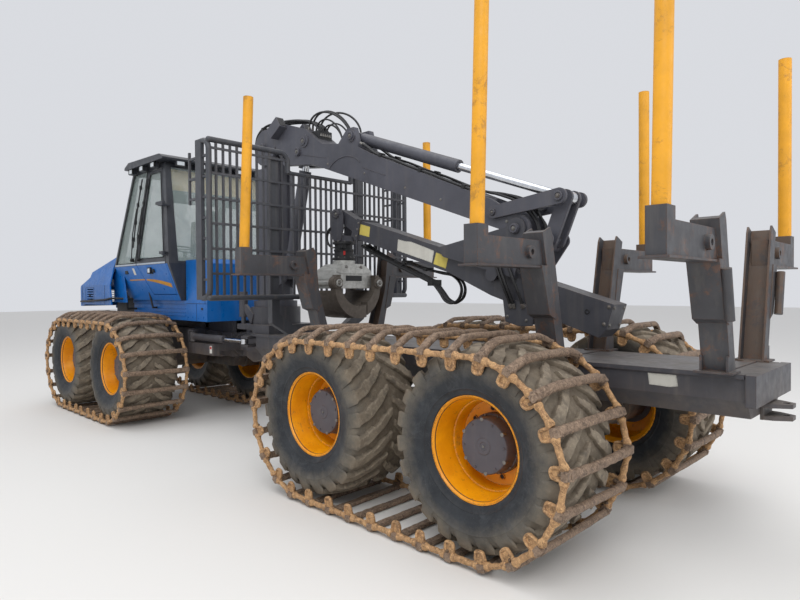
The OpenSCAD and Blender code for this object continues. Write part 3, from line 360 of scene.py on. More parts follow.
M = {
    "frame": painted("frame_paint", srgb(72, 72, 78), wear=0.45, grime=0.55, low=1.25),
    "crane": painted("crane_paint", srgb(80, 81, 90), wear=0.3, grime=0.3),
    "stick": painted("stick_paint", srgb(66, 67, 74), wear=0.3, grime=0.3),
    "bunk": painted("bunk_paint", srgb(70, 70, 74), wear=1.1, grime=0.5, inner=srgb(96, 78, 64),
                    patch=0.55),
    "gate": painted("gate_paint", srgb(70, 72, 78), wear=0.4, grime=0.45),
    "blue": painted("blue_paint", BLUE, wear=0.12, grime=0.22, rough=0.32, low=1.0,
                    worn_to=srgb(70, 84, 100)),
    "yellow": painted("yellow_paint", srgb(244, 172, 28), wear=1.0, grime=0.12, rough=0.5, patch=0.4,
                      worn_to=srgb(84, 66, 40)),
    "cab_grey": painted("cab_paint", srgb(52, 55, 62), wear=0.1, grime=0.25, rough=0.35),
    "cab_two": painted("cab_two_tone", srgb(52, 55, 62), wear=0.08, grime=0.2, rough=0.35,
                       lower=(SILL_Z, CAB_REAR_X + 0.06, BLUE)),
    "door_two": painted("door_two_tone", srgb(52, 55, 62), wear=0.08, grime=0.2, rough=0.35,
                        lower=(SILL_Z, CAB_REAR_X, BLUE)),
    "tyre": rubber_tyre(),
    "shoe": track_steel("track_shoe", srgb(150, 128, 108), srgb(104, 84, 68)),
    "link": track_steel("track_link", srgb(200, 160, 114), srgb(150, 112, 76)),
    "mud": track_steel("track_mud", srgb(122, 100, 78), srgb(78, 62, 48)),
    "rim": rim_paint(),
    "hub": painted("hub_paint", srgb(86, 82, 88), wear=0.25, grime=0.35, low=0.3),
    "chrome": chrome_rod(),
    "steel": bare_steel("bolt_steel", srgb(140, 138, 134), rough=0.45, amount=0.6),
    "silver": bare_steel("worn_silver", srgb(196, 196, 192), rough=0.42, metal=0.7, amount=0.55,
                         spots=srgb(70, 66, 60)),
    "claw": bare_steel("claw_steel", srgb(104, 96, 88), rough=0.5, metal=0.35, amount=0.6,
                       spots=srgb(60, 50, 42)),
    "hose": plain("hose_rubber", srgb(34, 34, 36), rough=0.5, vary=0.4, scale=20, bump=0.2),
    "black": plain("black_plastic", srgb(30, 31, 33), rough=0.55, vary=0.35),
    "glass": glass(),
    "lens": plain("lamp_lens", srgb(214, 220, 224), rough=0.12, vary=0.15, scale=60),
    "dark_lens": plain("dark_lens", srgb(46, 44, 44), rough=0.2, vary=0.4, scale=40),
    "shade": plain("shade_film", srgb(222, 190, 136), rough=0.7, vary=0.08),
    "seat": fabric("seat_cloth", srgb(40, 40, 44)),
    "engine": plain("engine_grey", srgb(52, 52, 54), rough=0.6, vary=0.4, scale=30),
    "red": plain("red_paint", srgb(196, 36, 30), rough=0.6, vary=0.3, scale=30),
    "white": plain("white_film", srgb(222, 220, 212), rough=0.6, vary=0.12, scale=30),
    "worn_white": painted("worn_film", srgb(214, 212, 202), wear=1.6, grime=0.5, rust=srgb(62, 62, 66),
                          rough=0.6),
    "pale_yellow": painted("yellow_film", srgb(214, 196, 96), wear=0.8, grime=0.4, rust=srgb(70, 66, 50),
                           rough=0.6),
    "trim": plain("pale_trim", srgb(176, 186, 196), rough=0.3, vary=0.2, scale=30),
    "film": plain("dark_film", srgb(92, 98, 106), rough=0.4, vary=0.1),
    "amber": plain("swoosh_film", srgb(214, 150, 40), rough=0.5, vary=0.3, scale=20),
}


# Mesh building. The pieces are drawn as if the tyres stood on the ground, and are then lifted
# onto the shoes under them.

STANCE = 0.06


def finish_piece(name, bm, mats, body, bevel=0.0, smooth=35):
    """Turns a bmesh into a piece that rides on a body."""
    bmesh.ops.translate(bm, verts=bm.verts, vec=(0, 0, STANCE))
    bmesh.ops.recalc_face_normals(bm, faces=bm.faces)
    mesh = bpy.data.meshes.new(name)
    bm.to_mesh(mesh)
    bm.free()
    for key in mats if isinstance(mats, (list, tuple)) else [mats]:
        mesh.materials.append(M[key])
    piece = bpy.data.objects.new(name, mesh)
    bpy.context.scene.collection.objects.link(piece)
    if bevel:
        mod = piece.modifiers.new("edges", "BEVEL")
        mod.width = bevel
        mod.segments = 2
        mod.limit_method = "ANGLE"
        mod.angle_limit = math.radians(32)
        mod.harden_normals = False
    mesh.shade_smooth()
    mesh.set_sharp_from_angle(angle=math.radians(smooth))
    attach(piece, body)
    return piece


def around(count, shift=0.0):
    """Angles of so many even steps round a circle."""
    return [2 * math.pi * (i + shift) / count for i in range(count)]


def polar(r, a, z=0.0):
    return Vector((r * math.cos(a), r * math.sin(a), z))


def aimed(at, axis):
    """A place at a point, with its Z axis along the given one."""
    return Matrix.Translation(Vector(at)) @ Vector(axis).to_track_quat("Z", "Y").to_matrix().to_4x4()


def outward(side):
    """Turns what is drawn with its face up to face away from the machine's middle."""
    return Matrix.Rotation(-side * math.pi / 2, 4, "X")


def add_box(bm, low, high, mat=0, turn=None):
    corners = [Vector((x, y, z))
               for z in (low[2], high[2]) for y in (low[1], high[1]) for x in (low[0], high[0])]
    if turn is not None:
        corners = [turn @ c for c in corners]
    v = [bm.verts.new(c) for c in corners]
    for quad in ((0, 2, 3, 1), (4, 5, 7, 6), (0, 1, 5, 4), (2, 6, 7, 3), (0, 4, 6, 2), (1, 3, 7, 5)):
        bm.faces.new([v[i] for i in quad]).material_index = mat


def add_side_box(bm, side, x, y, z):
    """A box on one side of the machine, from pairs of X, distance from the middle and Z."""
    low, high = sorted((side * y[0], side * y[1]))
    add_box(bm, (x[0], low, z[0]), (x[1], high, z[1]))


def add_walls(bm, a, b, mat):
    """Faces between two closed rows of corners."""
    count = len(a)
    for i in range(count):
        bm.faces.new([a[i], b[i], b[(i + 1) % count], a[(i + 1) % count]]).material_index = mat


def add_slab(bm, outline, a, b, plane="xz", mat=0):
    """A flat outline drawn in a plane and pushed from a to b along the third axis."""
    spots = {"xz": lambda p, t: Vector((p[0], t, p[1])), "yz": lambda p, t: Vector((t, p[0], p[1])),
             "xy": lambda p, t: Vector((p[0], p[1], t))}[plane]
    first = [bm.verts.new(spots(p, a)) for p in outline]
    last = [bm.verts.new(spots(p, b)) for p in outline]
    bm.faces.new(first).material_index = mat
    bm.faces.new(last[::-1]).material_index = mat
    add_walls(bm, first, last, mat)


def add_lathe(bm, profile, place, n=48, mat=0):
    """Turns a profile of (radius, height) pairs about the place's Z axis.

    A profile that starts on the axis ends there too; any other one is a closed loop."""
    rings = []
    for r, h in profile:
        if r < 1e-6:
            rings.append([bm.verts.new(place @ Vector((0, 0, h)))])
        else:
            rings.append([bm.verts.new(place @ polar(r, a, h)) for a in around(n)])
    pairs = list(zip(rings, rings[1:]))
    if profile[0][0] > 0:
        pairs.append((rings[-1], rings[0]))
    for a, b in pairs:
        for i in range(n):
            j = (i + 1) % n
            if len(a) == 1 and len(b) == 1:
                break
            if len(a) == 1:
                face = [a[0], b[j], b[i]]
            elif len(b) == 1:
                face = [a[i], a[j], b[0]]
            else:
                face = [a[i], a[j], b[j], b[i]]
            bm.faces.new(face).material_index = mat


def add_rod(bm, a, b, r, n=12, mat=0, r_end=None):
    """A round bar between two points, with flat ends."""
    a, b = Vector(a), Vector(b)
    place = aimed(a, b - a)
    length = (b - a).length
    end = r if r_end is None else r_end
    add_lathe(bm, [(0, 0), (r, 0), (end, length), (0, length)], place, n, mat)


def add_bolt(bm, at, axis, r=0.012, h=0.01, mat=0, washer=True):
    """A hexagon head on its washer."""
    place = aimed(at, axis)
    if washer:
        disc = r * 1.45
        add_lathe(bm, [(0, -0.002), (disc, -0.002), (disc, h * 0.25), (0, h * 0.25)], place, 16, mat)
    add_lathe(bm, [(0, h * 0.2), (r, h * 0.2), (r, h * 0.9), (r * 0.85, h), (0, h)], place, 6, mat)


def smooth_path(points, per=8):
    """A smooth curve through the given points."""
    pts = [Vector(p) for p in points]
    pts = [pts[0] * 2 - pts[1]] + pts + [pts[-1] * 2 - pts[-2]]
    out = []
    for i in range(1, len(pts) - 2):
        p0, p1, p2, p3 = pts[i - 1:i + 3]
        for k in range(per):
            t = k / per
            out.append(0.5 * ((2 * p1) + (p2 - p0) * t + (2 * p0 - 5 * p1 + 4 * p2 - p3) * t * t
                              + (3 * p1 - p0 - 3 * p2 + p3) * t * t * t))
    out.append(pts[-2])
    return out


def add_sweep(bm, path, section, mat=0, closed=False, up=Vector((0, 0, 1))):
    """Carries a section of (side, up) pairs along a path of points."""
    n = len(path)
    rings = []
    side = None
    for i, p in enumerate(path):
        ahead = path[(i + 1) % n] if closed or i < n - 1 else p
        behind = path[i - 1] if closed or i > 0 else p
        along = (ahead - behind).normalized()
        if side is None:
            side = along.cross(up)
            if side.length < 1e-3:
                side = along.cross(Vector((0, 1, 0)))
        side = (side - along * side.dot(along)).normalized()
        top = side.cross(along)
        rings.append([bm.verts.new(p + side * s + top * t) for s, t in section])
    for a, b in list(zip(rings, rings[1:])) + ([(rings[-1], rings[0])] if closed else []):
        add_walls(bm, a, b, mat)
    if not closed:
        bm.faces.new(rings[0]).material_index = mat
        bm.faces.new(rings[-1][::-1]).material_index = mat


def ring(r, n=10, flat=1.0):
    return [(r * math.cos(a), r * flat * math.sin(a)) for a in around(n)]


def use(node, key):
    """Gives a CAD node a material."""
    mesh = NODES[node].data
    mesh.materials.clear()
    mesh.materials.append(M[key])


# Wheels

SIDES = (("left", 1), ("right", -1))
AXLE_Z = 0.705
WHEEL_X = {1: 4.294, 2: 2.574, 3: -1.94, 4: -3.66}
WHEEL_Y = 1.085
LUGS = 22
# Share of a lug's length where it turns down the sidewall, and its distance from the middle there
LUG_BEND = 0.76
SHOULDER_Y = 0.313
# Radii of a lug's foot, of the line that its widths are measured on, and of the whole tyre
LUG_BASE_R = 0.655
TREAD_R = 0.68
TYRE_R = 0.7035
# Half section of the tyre without its lugs, as (radius, distance from its middle)
TYRE_SECTION = [(0.3625, 0.300), (0.3700, 0.310), (0.3850, 0.314), (0.4000, 0.324), (0.4080, 0.334),
                (0.4160, 0.333), (0.4500, 0.348), (0.5000, 0.362), (0.5300, 0.368), (0.5400, 0.3725),
                (0.5500, 0.369), (0.5850, 0.360), (0.6120, 0.343), (0.6320, 0.316), (0.6480, 0.275),
                (0.6620, 0.200), (0.6690, 0.110), (0.6710, 0)]
# Line of the lugs' tops, as (distance from the middle, radius)
CROWN = [(0.0, 0.7030), (0.150, 0.7030), (0.255, 0.6965), (SHOULDER_Y, 0.6790)]
# How far each edge of a lug steps out, from the tread's middle to the sidewall
LUG_STEPS = [0.000, 0.016, 0.004, 0.020, 0.006, 0.022]


def crown_at(y):
    for (y0, r0), (y1, r1) in zip(CROWN, CROWN[1:]):
        if y <= y1:
            return r0 + (r1 - r0) * (y - y0) / (y1 - y0)
    return CROWN[-1][1]


def add_lug(bm, start, hand, rng):
    """One tread bar with stepped edges, from the tread's middle over the shoulder to the sidewall."""
    rows = []
    count = len(LUG_STEPS)
    worn = rng.uniform(0.0, 0.006)
    for k in range(count):
        for t in (k / count + 0.012, (k + 1) / count - 0.012):
            if t < LUG_BEND:
                y = 0.010 + t / LUG_BEND * (SHOULDER_Y - 0.010)
                top = crown_at(y) - worn
                base = LUG_BASE_R - max(0, y - 0.2) * 0.35
            else:
                u = (t - LUG_BEND) / (1 - LUG_BEND)
                y = SHOULDER_Y + 0.058 * math.sin(u * math.pi / 2)
                top = 0.679 - 0.105 * u * u - worn
                base = top - 0.034
            turn = start + 0.37 * (1 - t) ** 1.4
            half = (0.027 + 0.016 * t) / TREAD_R
            step = LUG_STEPS[k] / TREAD_R
            low = turn - half - step * 0.5
            high = turn + half + step
            flare = 0.012
            rows.append([(low - flare, base, y), (low, top - 0.004, y), (low + flare, top, y),
                         (high - flare, top, y), (high, top - 0.004, y), (high + flare, base, y)])
    verts = [[bm.verts.new(polar(r, a, y * hand)) for a, r, y in row] for row in rows]
    for a, b in zip(verts, verts[1:]):
        for i in range(5):
            bm.faces.new([a[i], a[i + 1], b[i + 1], b[i]])
    bm.faces.new(verts[0])
    bm.faces.new(verts[-1][::-1])


def make_tyre():
    bm = bmesh.new()
    rng = random.Random(5)
    full = TYRE_SECTION + [(r, -y) for r, y in TYRE_SECTION[-2::-1]] + [(0.340, -0.290), (0.340, 0.290)]
    add_lathe(bm, full, Matrix(), 96)
    for i in range(LUGS):
        step = 2 * math.pi / LUGS
        add_lug(bm, i * step, 1, rng)
        add_lug(bm, (i + 0.5) * step, -1, rng)
    for v in bm.verts:
        r = math.hypot(v.co.x, v.co.y)
        if r > 0.6:
            v.co *= 1 + 0.012 * (noise.noise(v.co * 7) - 0.35)
            flat = math.hypot(v.co.x, v.co.y)
            if flat > TYRE_R:
                v.co *= TYRE_R / flat
    return bm


def make_rim():
    """Rim with its lip, its well and a disc with holes, drawn with the outer face up; each hole is a black
    disc of painted shade.
    """
    bm = bmesh.new()
    lip = [(0.3480, 0.300), (0.3540, 0.3055), (0.3625, 0.303), (0.3640, 0.291), (0.357, 0.282),
           (0.3550, 0.268), (0.347, 0.256), (0.340, 0.20), (0.330, 0.10), (0.330, -0.268), (0.357, -0.296),
           (0.3625, -0.304), (0.350, -0.304), (0.318, -0.268), (0.316, -0.040), (0.296, -0.016),
           (0.165, 0.000), (0.165, 0.022), (0.280, 0.006), (0.296, 0.012), (0.302, 0.032), (0.303, 0.094),
           (0.310, 0.108), (0.318, 0.112), (0.3205, 0.122), (0.3205, 0.150), (0.326, 0.160), (0.328, 0.240),
           (0.338, 0.268), (0.341, 0.290)]
    add_lathe(bm, lip, Matrix(), 96)
    for a in around(8, 0.5):
        at = Matrix.Translation(polar(0.236, a, 0.006))
        add_lathe(bm, [(0.021, 0), (0.021, 0.014), (0.017, 0.014), (0.017, 0)], at, 16)
        # Painted shade: a black disc fills the hole inside each ring.
        add_lathe(bm, [(0, 0.0095), (0.017, 0.0095), (0.017, 0), (0, 0)], at, 16, mat=1)
    valve = Matrix.Translation(Vector((0.285, 0.05, 0.006)))
    add_lathe(bm, [(0, 0), (0.008, 0), (0.006, 0.045), (0, 0.045)], valve, 10, mat=1)
    return bm


def make_hub():
    """Planetary hub: a stepped drum with a bolted cover."""
    bm = bmesh.new()
    drum = [(0, -0.030), (0.210, -0.030), (0.210, 0.050), (0.204, 0.058), (0.196, 0.060), (0.192, 0.070),
            (0.192, 0.154), (0.185, 0.165), (0.058, 0.168), (0.055, 0.1725), (0.030, 0.1735),
            (0.026, 0.1685), (0, 0.1685)]
    add_lathe(bm, drum, Matrix(), 64)
    for a in around(12):
        add_bolt(bm, polar(0.201, a, 0.056), (0, 0, 1), 0.008, 0.014, 1, False)
    for a in around(6, 0.3):
        add_bolt(bm, polar(0.166, a, 0.1645), (0, 0, 1), 0.009, 0.007, 0, False)
    for a in around(6, 0.8):
        spot = Matrix.Translation(polar(0.183, a, 0.136))
        add_lathe(bm, [(0, 0), (0.014, 0), (0.014, 0.033), (0, 0.033)], spot, 10, mat=1)
    add_lathe(bm, [(0, 0.1685), (0.010, 0.1685), (0.010, 0.175), (0, 0.175)], Matrix(), 6, 1)
    bmesh.ops.translate(bm, verts=bm.verts, vec=(0, 0, 0.015))
    return bm


def place_wheel(name, bm, mats, number, word, side, smooth=35):
    """Copies a wheel part that was drawn about Z to its wheel."""
    spin = random.Random(number * 2 + side).uniform(0, 2 * math.pi)
    where = Matrix.Translation(Vector((WHEEL_X[number], side * WHEEL_Y, AXLE_Z)))
    copy = bm.copy()
    radii = [math.hypot(v.co.x, v.co.y) for v in copy.verts]
    copy.transform(where @ outward(side) @ Matrix.Rotation(spin, 4, "Z"))
    piece = finish_piece(f"{name}_{number}_{word}", copy, mats, f"wheel_{number}_{word}",
                         smooth=smooth)
    layer = piece.data.attributes.new("wheel_radius", "FLOAT", "POINT")
    layer.data.foreach_set("value", radii)
    return piece


def make_wheels():
    tyre = make_tyre()
    rim = make_rim()
    hub = make_hub()
    for number in WHEEL_X:
        for word, side in SIDES:
            rubber = place_wheel("tyre", tyre, "tyre", number, word, side, 28)
            place_wheel("rim", rim, ["rim", "black"], number, word, side)
            place_wheel("hub", hub, ["hub", "steel"], number, word, side)
            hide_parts(f"wheel_{number}_{word}")


make_wheels()


# Tracks

BOGIE_X = (-2.8, 3.434)
SHOES = 32
# How far the bars' outer ends hang down beside the tyre, and the inner ends' share of that
SHOE_DROP = 0.09
INNER_DROP = 0.55
EAR_Y = 0.420
# Lowest height in a chain, before it is lifted
GROUND_Z = 0.0005 - STANCE
# Straight length of a track's loop, its offset from the bogie's middle and its radius
LOOP_GAP = 1.78
LOOP_MID = 0.03
LOOP_R = 0.74
LOOP_LEN = 2 * LOOP_GAP + 2 * math.pi * LOOP_R
TRACK_Y = 1.052


def loop_place(s):
    """Point and turn on the loop at a distance along it."""
    s %= LOOP_LEN
    arc = math.pi * LOOP_R
    if s < LOOP_GAP:
        return LOOP_GAP / 2 - s, LOOP_R, 0.0
    if s < LOOP_GAP + arc:
        a = (s - LOOP_GAP) / LOOP_R
        return -LOOP_GAP / 2 - LOOP_R * math.sin(a), LOOP_R * math.cos(a), -a
    if s < 2 * LOOP_GAP + arc:
        return -LOOP_GAP / 2 + s - LOOP_GAP - arc, -LOOP_R, -math.pi
    a = (s - 2 * LOOP_GAP - arc) / LOOP_R
    return LOOP_GAP / 2 + LOOP_R * math.sin(a), -LOOP_R * math.cos(a), -math.pi - a


BAR_SECTION = [(-0.026, -0.019), (0.026, -0.019), (0.031, -0.008), (0.029, 0.010), (0.018, 0.020),
               (0.004, 0.023), (-0.012, 0.021), (-0.026, 0.012), (-0.031, -0.006)]


def add_plate(bm, place, outline, inner, y0, y1, mat):
    """A plate in the place's X-Z plane between two distances, smaller on its outer face."""
    near = [bm.verts.new(place @ Vector((x, y0, z))) for x, z in outline]
    away = [bm.verts.new(place @ Vector((x, y1, z))) for x, z in inner]
    bm.faces.new(near).material_index = mat
    bm.faces.new(away[::-1]).material_index = mat
    add_walls(bm, near, away, mat)


def add_shoe(bm, place, drop, outer, rng):
    """A cross bar, arched over the tread, with a forged end and a grip ear at each side."""
    bow = rng.uniform(-0.016, 0.016)
    twist = rng.uniform(-0.010, 0.010)
    line = []
    for k in range(17):
        t = -1 + k / 8
        down = drop * max(0, (abs(t) - 0.58) / 0.42) ** 1.5
        if t * outer < 0:
            down *= INNER_DROP
        line.append(place @ Vector((bow * (1 - t * t) + twist * t, t * 0.415, -down)))
    add_sweep(bm, line, BAR_SECTION, 0, up=(place.to_3x3() @ Vector((0, 0, 1))))
    for side in (-1, 1):
        fall = drop * (1 if side == outer else INNER_DROP)
        end = place @ Matrix.Translation(Vector((twist * side, 0, -fall)))
        knob = [(-0.034, -0.038), (0.034, -0.038), (0.040, -0.008), (0.030, 0.020), (-0.030, 0.020),
                (-0.040, -0.008)]
        add_plate(bm, end, knob, [(x * 0.8, z * 0.85 - 0.003) for x, z in knob], side * 0.388, side * 0.444,
                  0)
        lean = side * rng.uniform(0.414, 0.432)
        ear = []
        for k in range(13):
            a = math.pi * k / 12
            flat = 1.16 if 2 < k < 10 else 1.0
            ear.append(end @ Vector((0.034 * math.cos(a) * flat, lean, -0.082 - 0.034 * math.sin(a))))
        start = end @ Vector((0.037, side * EAR_Y, -0.020))
        last = end @ Vector((-0.037, side * EAR_Y, -0.020))
        add_sweep(bm, [start] + ear + [last], ring(0.0115, 8, 1.25), 1,
                  up=(place.to_3x3() @ Vector((0, 1, 0))))
        web = [(-0.031, -0.02), (0.031, -0.02), (0.033, -0.085), (0.018, -0.110), (-0.018, -0.110),
               (-0.033, -0.085)]
        add_plate(bm, end, web, web, lean - side * 0.007, lean + side * 0.002, 1)


BONE = [(0, 0.0), (0.024, 0.002), (0.031, 0.014), (0.029, 0.030), (0.022, 0.046), (0.0195, 0.062),
        (0.0215, 0.080)]


def add_link(bm, a, b, drop_a, drop_b, outer):
    """A side link between two shoes on both sides, thick at its ends."""
    for side in (-1, 1):
        share = 1 if side == outer else INNER_DROP
        p = a @ Vector((-0.026, side * 0.421, -0.022 - drop_a * share))
        q = b @ Vector((0.026, side * 0.421, -0.022 - drop_b * share))
        length = (q - p).length
        place = aimed(p, q - p)
        half = [(r, h) for r, h in BONE if h < length / 2]
        add_lathe(bm, half + [(r, length - h) for r, h in half[::-1]], place, 10, 1)


def add_mud(bm, at, size, rng):
    """A lump of dry mud in a corner of the chain."""
    lump = bmesh.ops.create_icosphere(bm, subdivisions=2, radius=size)["verts"]
    squash = Vector((rng.uniform(0.7, 1.3), rng.uniform(0.5, 0.9), rng.uniform(0.5, 1.0)))
    for v in lump:
        lumpy = 1 + 0.6 * noise.noise(v.co * 40 + at * 9)
        v.co = Vector(a * b for a, b in zip(v.co, squash)) * lumpy + at
    for face in {face for v in lump for face in v.link_faces}:
        face.material_index = 2


def make_track(bogie_x, side, seed):
    """One chain round a bogie: its shoes, side links and lumps of mud."""
    rng = random.Random(seed)
    bm = bmesh.new()
    pitch = LOOP_LEN / SHOES
    base = Matrix.Translation(Vector((bogie_x + LOOP_MID, side * TRACK_Y, AXLE_Z)))
    places = []
    for i in range(SHOES):
        x, z, turn = loop_place((i + 0.5) * pitch)
        spot = base @ Matrix.Translation(Vector((x, 0, z))) @ Matrix.Rotation(turn, 4, "Y")
        yaw = Matrix.Rotation(rng.uniform(-0.03, 0.03), 4, "Z")
        places.append((spot @ yaw, SHOE_DROP * max(0, math.cos(turn))))
    for i, (place, drop) in enumerate(places):
        following, next_drop = places[(i + 1) % SHOES]
        add_shoe(bm, place, drop, side, rng)
        add_link(bm, place, following, drop, next_drop, side)
        for hand in (-1, 1):
            fall = drop * (1 if hand == side else INNER_DROP)
            for _ in range(3):
                spot = Vector((rng.uniform(-0.06, 0.06), hand * rng.uniform(0.392, 0.424),
                               -fall - rng.uniform(0.02, 0.06)))
                add_mud(bm, place @ spot, rng.uniform(0.010, 0.020), rng)
    bmesh.ops.subdivide_edges(bm, edges=[e for e in bm.edges if e.calc_length() > 0.035], cuts=1,
                              use_grid_fill=True)
    for v in bm.verts:
        wobble = Vector((noise.noise(v.co * 22), noise.noise(v.co * 22 + Vector((7, 0, 0))),
                         noise.noise(v.co * 22 + Vector((0, 9, 0)))))
        v.co += wobble * 0.004
        v.co.z = max(v.co.z, GROUND_Z)
    return bm


def make_tracks():
    seed = 10
    for end, x in (("rear", BOGIE_X[0]), ("front", BOGIE_X[1])):
        for word, side in SIDES:
            seed += 1
            piece = finish_piece(f"track_chain_{end}_{word}", make_track(x, side, seed),
                                 ["shoe", "link", "mud"], f"{end}_{word}_bogie", smooth=50)
            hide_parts(f"{end}_{word}_track")


make_tracks()


# Finishes of the CAD nodes

FINISH = {
    "frame": ["rear_frame", "frame_neck", "hitch_jaws", "crane_base", "centre_joint", "front_frame",
              "rear_left_bogie", "rear_right_bogie", "front_left_bogie", "front_right_bogie",
              "steer_barrel_left", "steer_barrel_right"],
    "bunk": ["bunk_front", "bunk_middle", "bunk_rear"],
    "yellow": ["stakes"],
    "gate": ["headboard"],
    "crane": ["pillar", "boom", "lift_barrel", "stick_barrel", "knuckle_rocker", "knuckle_tie", "tip_link"],
    "stick": ["stick", "extension"],
    "blue": ["body_panels", "hood"],
    "cab_two": ["cab"],
    "door_two": ["cab_door"],
    "cab_grey": ["cab_roof"],
    "chrome": ["lift_rod", "stick_rod", "steer_rod_left", "steer_rod_right"],
    "glass": ["cab_glass", "door_glass"],
    "seat": ["seat"],
    "engine": ["engine"],
    "silver": ["grapple_head"],
    "claw": ["claw_left", "claw_right"],
}
for key, names in FINISH.items():
    for node in names:
        use(node, key)


# Cab, doors and lamps

CAB_LOW_Z = 1.64
CAB_SILL = 2.16
CAB_TOP = 3.56
POST_W = 0.05
STRIP_Z = 2.172
# Sides of the blue body under the cab and of the hood, as distances from the middle
BODY_SIDE_Y = 0.6105
HOOD_SIDE_Y = 0.9405
SEAM_R = 0.0028


def cab_half(z):
    """Half width of the cab at a height."""
    if z < CAB_SILL:
        return 0.655 + 0.195 * (z - CAB_LOW_Z) / (CAB_SILL - CAB_LOW_Z)
    return 0.85 - 0.06 * (z - CAB_SILL) / (CAB_TOP - CAB_SILL)


def rise(z):
    return max(0, z - CAB_SILL) / (CAB_TOP - CAB_SILL)


def rear_line(z):
    return 2.0 + 0.19 * rise(z)


def mid_line(z):
    return 2.97 - 0.37 * rise(z) if z > CAB_SILL else 2.75 + 0.22 * (z - 1.7) / 0.46


def front_line(z):
    return 3.735 - 0.62 * rise(z)


def on_cab(x, z, out=0.0, side=1):
    return Vector((x, side * (cab_half(z) + out), z))


def strip(width, thick):
    return [(-width / 2, -thick / 2), (width / 2, -thick / 2), (width / 2, thick / 2),
            (-width / 2, thick / 2)]


def add_strip(bm, points, width, thick, mat=0, side=1, closed=False):
    """A flat strip on the side of the cab through (x, z) points."""
    path = [on_cab(x, z, 0.0, side) for x, z in points]
    add_sweep(bm, path, strip(width, thick), mat, closed=closed, up=Vector((0, side, 0)))


def pane_outline(rear, front, inset):
    """Corners of a pane between two slanting lines, as (x, z)."""
    low = CAB_SILL + 0.032 + inset
    top = CAB_TOP - 0.050 - inset
    return [(rear(low) + inset, low), (rear(top) + inset, top), (front(top) - inset, top),
            (front(low) - inset, low)]


def make_cab_trim():
    """Seals round the panes and pale strips under the windows."""
    front_pane = pane_outline(lambda z: mid_line(z) + POST_W, front_line, 0.0)
    panes = ((pane_outline(rear_line, mid_line, 0.055), "cab_door", 1, "door_seal"),
             (front_pane, "front_frame", 1, "pane_seal_left"),
             (pane_outline(rear_line, mid_line, 0.0), "front_frame", -1, "pane_seal_right_rear"),
             (front_pane, "front_frame", -1, "pane_seal_right"))
    for outline, body, side, name in panes:
        bm = bmesh.new()
        add_strip(bm, outline, 0.024, 0.010, 0, side, closed=True)
        finish_piece(name, bm, "black", body)
    for body, x0, x1, side, name in (("cab_door", 2.02, 2.955, 1, "sill_strip_door"),
                                     ("front_frame", 2.99, 3.76, 1, "sill_strip_left"),
                                     ("front_frame", 1.93, 3.76, -1, "sill_strip_right")):
        bm = bmesh.new()
        add_strip(bm, [(x0, STRIP_Z), (x1, STRIP_Z)], 0.024, 0.012, 0, side)
        finish_piece(name, bm, "trim", body, bevel=0.003)


def add_wiper(bm, foot, bend, tip, low, high, side=1):
    """A wiper: an arm from its foot to the middle of a blade that lies along the glass."""
    add_sweep(bm, [on_cab(*foot, 0.03, side), on_cab(*bend, 0.05, side), on_cab(*tip, 0.035, side)],
              ring(0.008, 8), 0)
    add_lathe(bm, [(0, 0), (0.028, 0), (0.024, 0.045), (0, 0.045)],
              Matrix.Translation(on_cab(*foot, 0.0, side)) @ outward(side), 14)
    path = [on_cab(low[0] + (high[0] - low[0]) * k / 8, low[1] + (high[1] - low[1]) * k / 8,
                   0.020 + 0.010 * math.sin(math.pi * k / 8), side) for k in range(9)]
    add_sweep(bm, path, strip(0.020, 0.014), 0, up=Vector((0, side, 0)))
    for k in (1, 3, 5, 7):
        add_box(bm, path[k] - Vector((0.018, 0.012, 0.03)), path[k] + Vector((0.018, 0.016, 0.03)))


def make_wipers():
    front = ((3.08, 2.24), (3.02, 2.62), (2.93, 3.0), (3.06, 2.42), (2.80, 3.42))
    door = ((2.86, 2.24), (2.84, 2.60), (2.74, 3.0), (2.86, 2.46), (2.60, 3.40))
    for name, body, spots, side in (("wiper_left_front", "front_frame", front, 1),
                                    ("wiper_left_door", "cab_door", door, 1),
                                    ("wiper_right", "front_frame", front, -1)):
        bm = bmesh.new()
        add_wiper(bm, *spots, side)
        finish_piece(name, bm, "black", body, bevel=0.002)


def make_door_details():
    """Lamp, recess and plain labels on the blue panels under the side windows."""
    bm = bmesh.new()
    z = 2.07
    y = cab_half(z)
    add_box(bm, (2.50, y - 0.02, z - 0.045), (2.60, y + 0.035, z + 0.045))
    add_box(bm, (2.515, y + 0.033, z - 0.03), (2.575, y + 0.040, z + 0.03), 1)
    add_box(bm, (2.42, y - 0.02, z - 0.03), (2.46, y + 0.02, z + 0.02))
    finish_piece("door_lamp", bm, ["black", "lens"], "cab_door", bevel=0.004)
    bm = bmesh.new()
    add_box(bm, (3.36, y - 0.02, z - 0.03), (3.46, y + 0.008, z + 0.03))
    finish_piece("side_recess", bm, "black", "front_frame", bevel=0.004)
    bm = bmesh.new()
    add_strip(bm, [(3.13, 2.02), (3.13, 2.12)], 0.07, 0.003)
    finish_piece("side_label", bm, "white", "front_frame")
    for body, x0, x1, name in (("cab_door", 2.06, 2.80, "swoosh_door"),
                               ("front_frame", 2.86, 3.40, "swoosh_front")):
        bm = bmesh.new()
        top = []
        low = []
        for k in range(13):
            x = x0 + (x1 - x0) * k / 12
            far = min(1, max(0.0, (2.9 - x) / 0.84))
            top.append(bm.verts.new(on_cab(x, 1.955 - 0.075 * far ** 2.2, 0.0015)))
            low.append(bm.verts.new(on_cab(x, 1.955 - 0.018 - 0.115 * far ** 1.4, 0.0015)))
        for k in range(12):
            bm.faces.new([top[k], top[k + 1], low[k + 1], low[k]])
        finish_piece(name, bm, "amber", body)


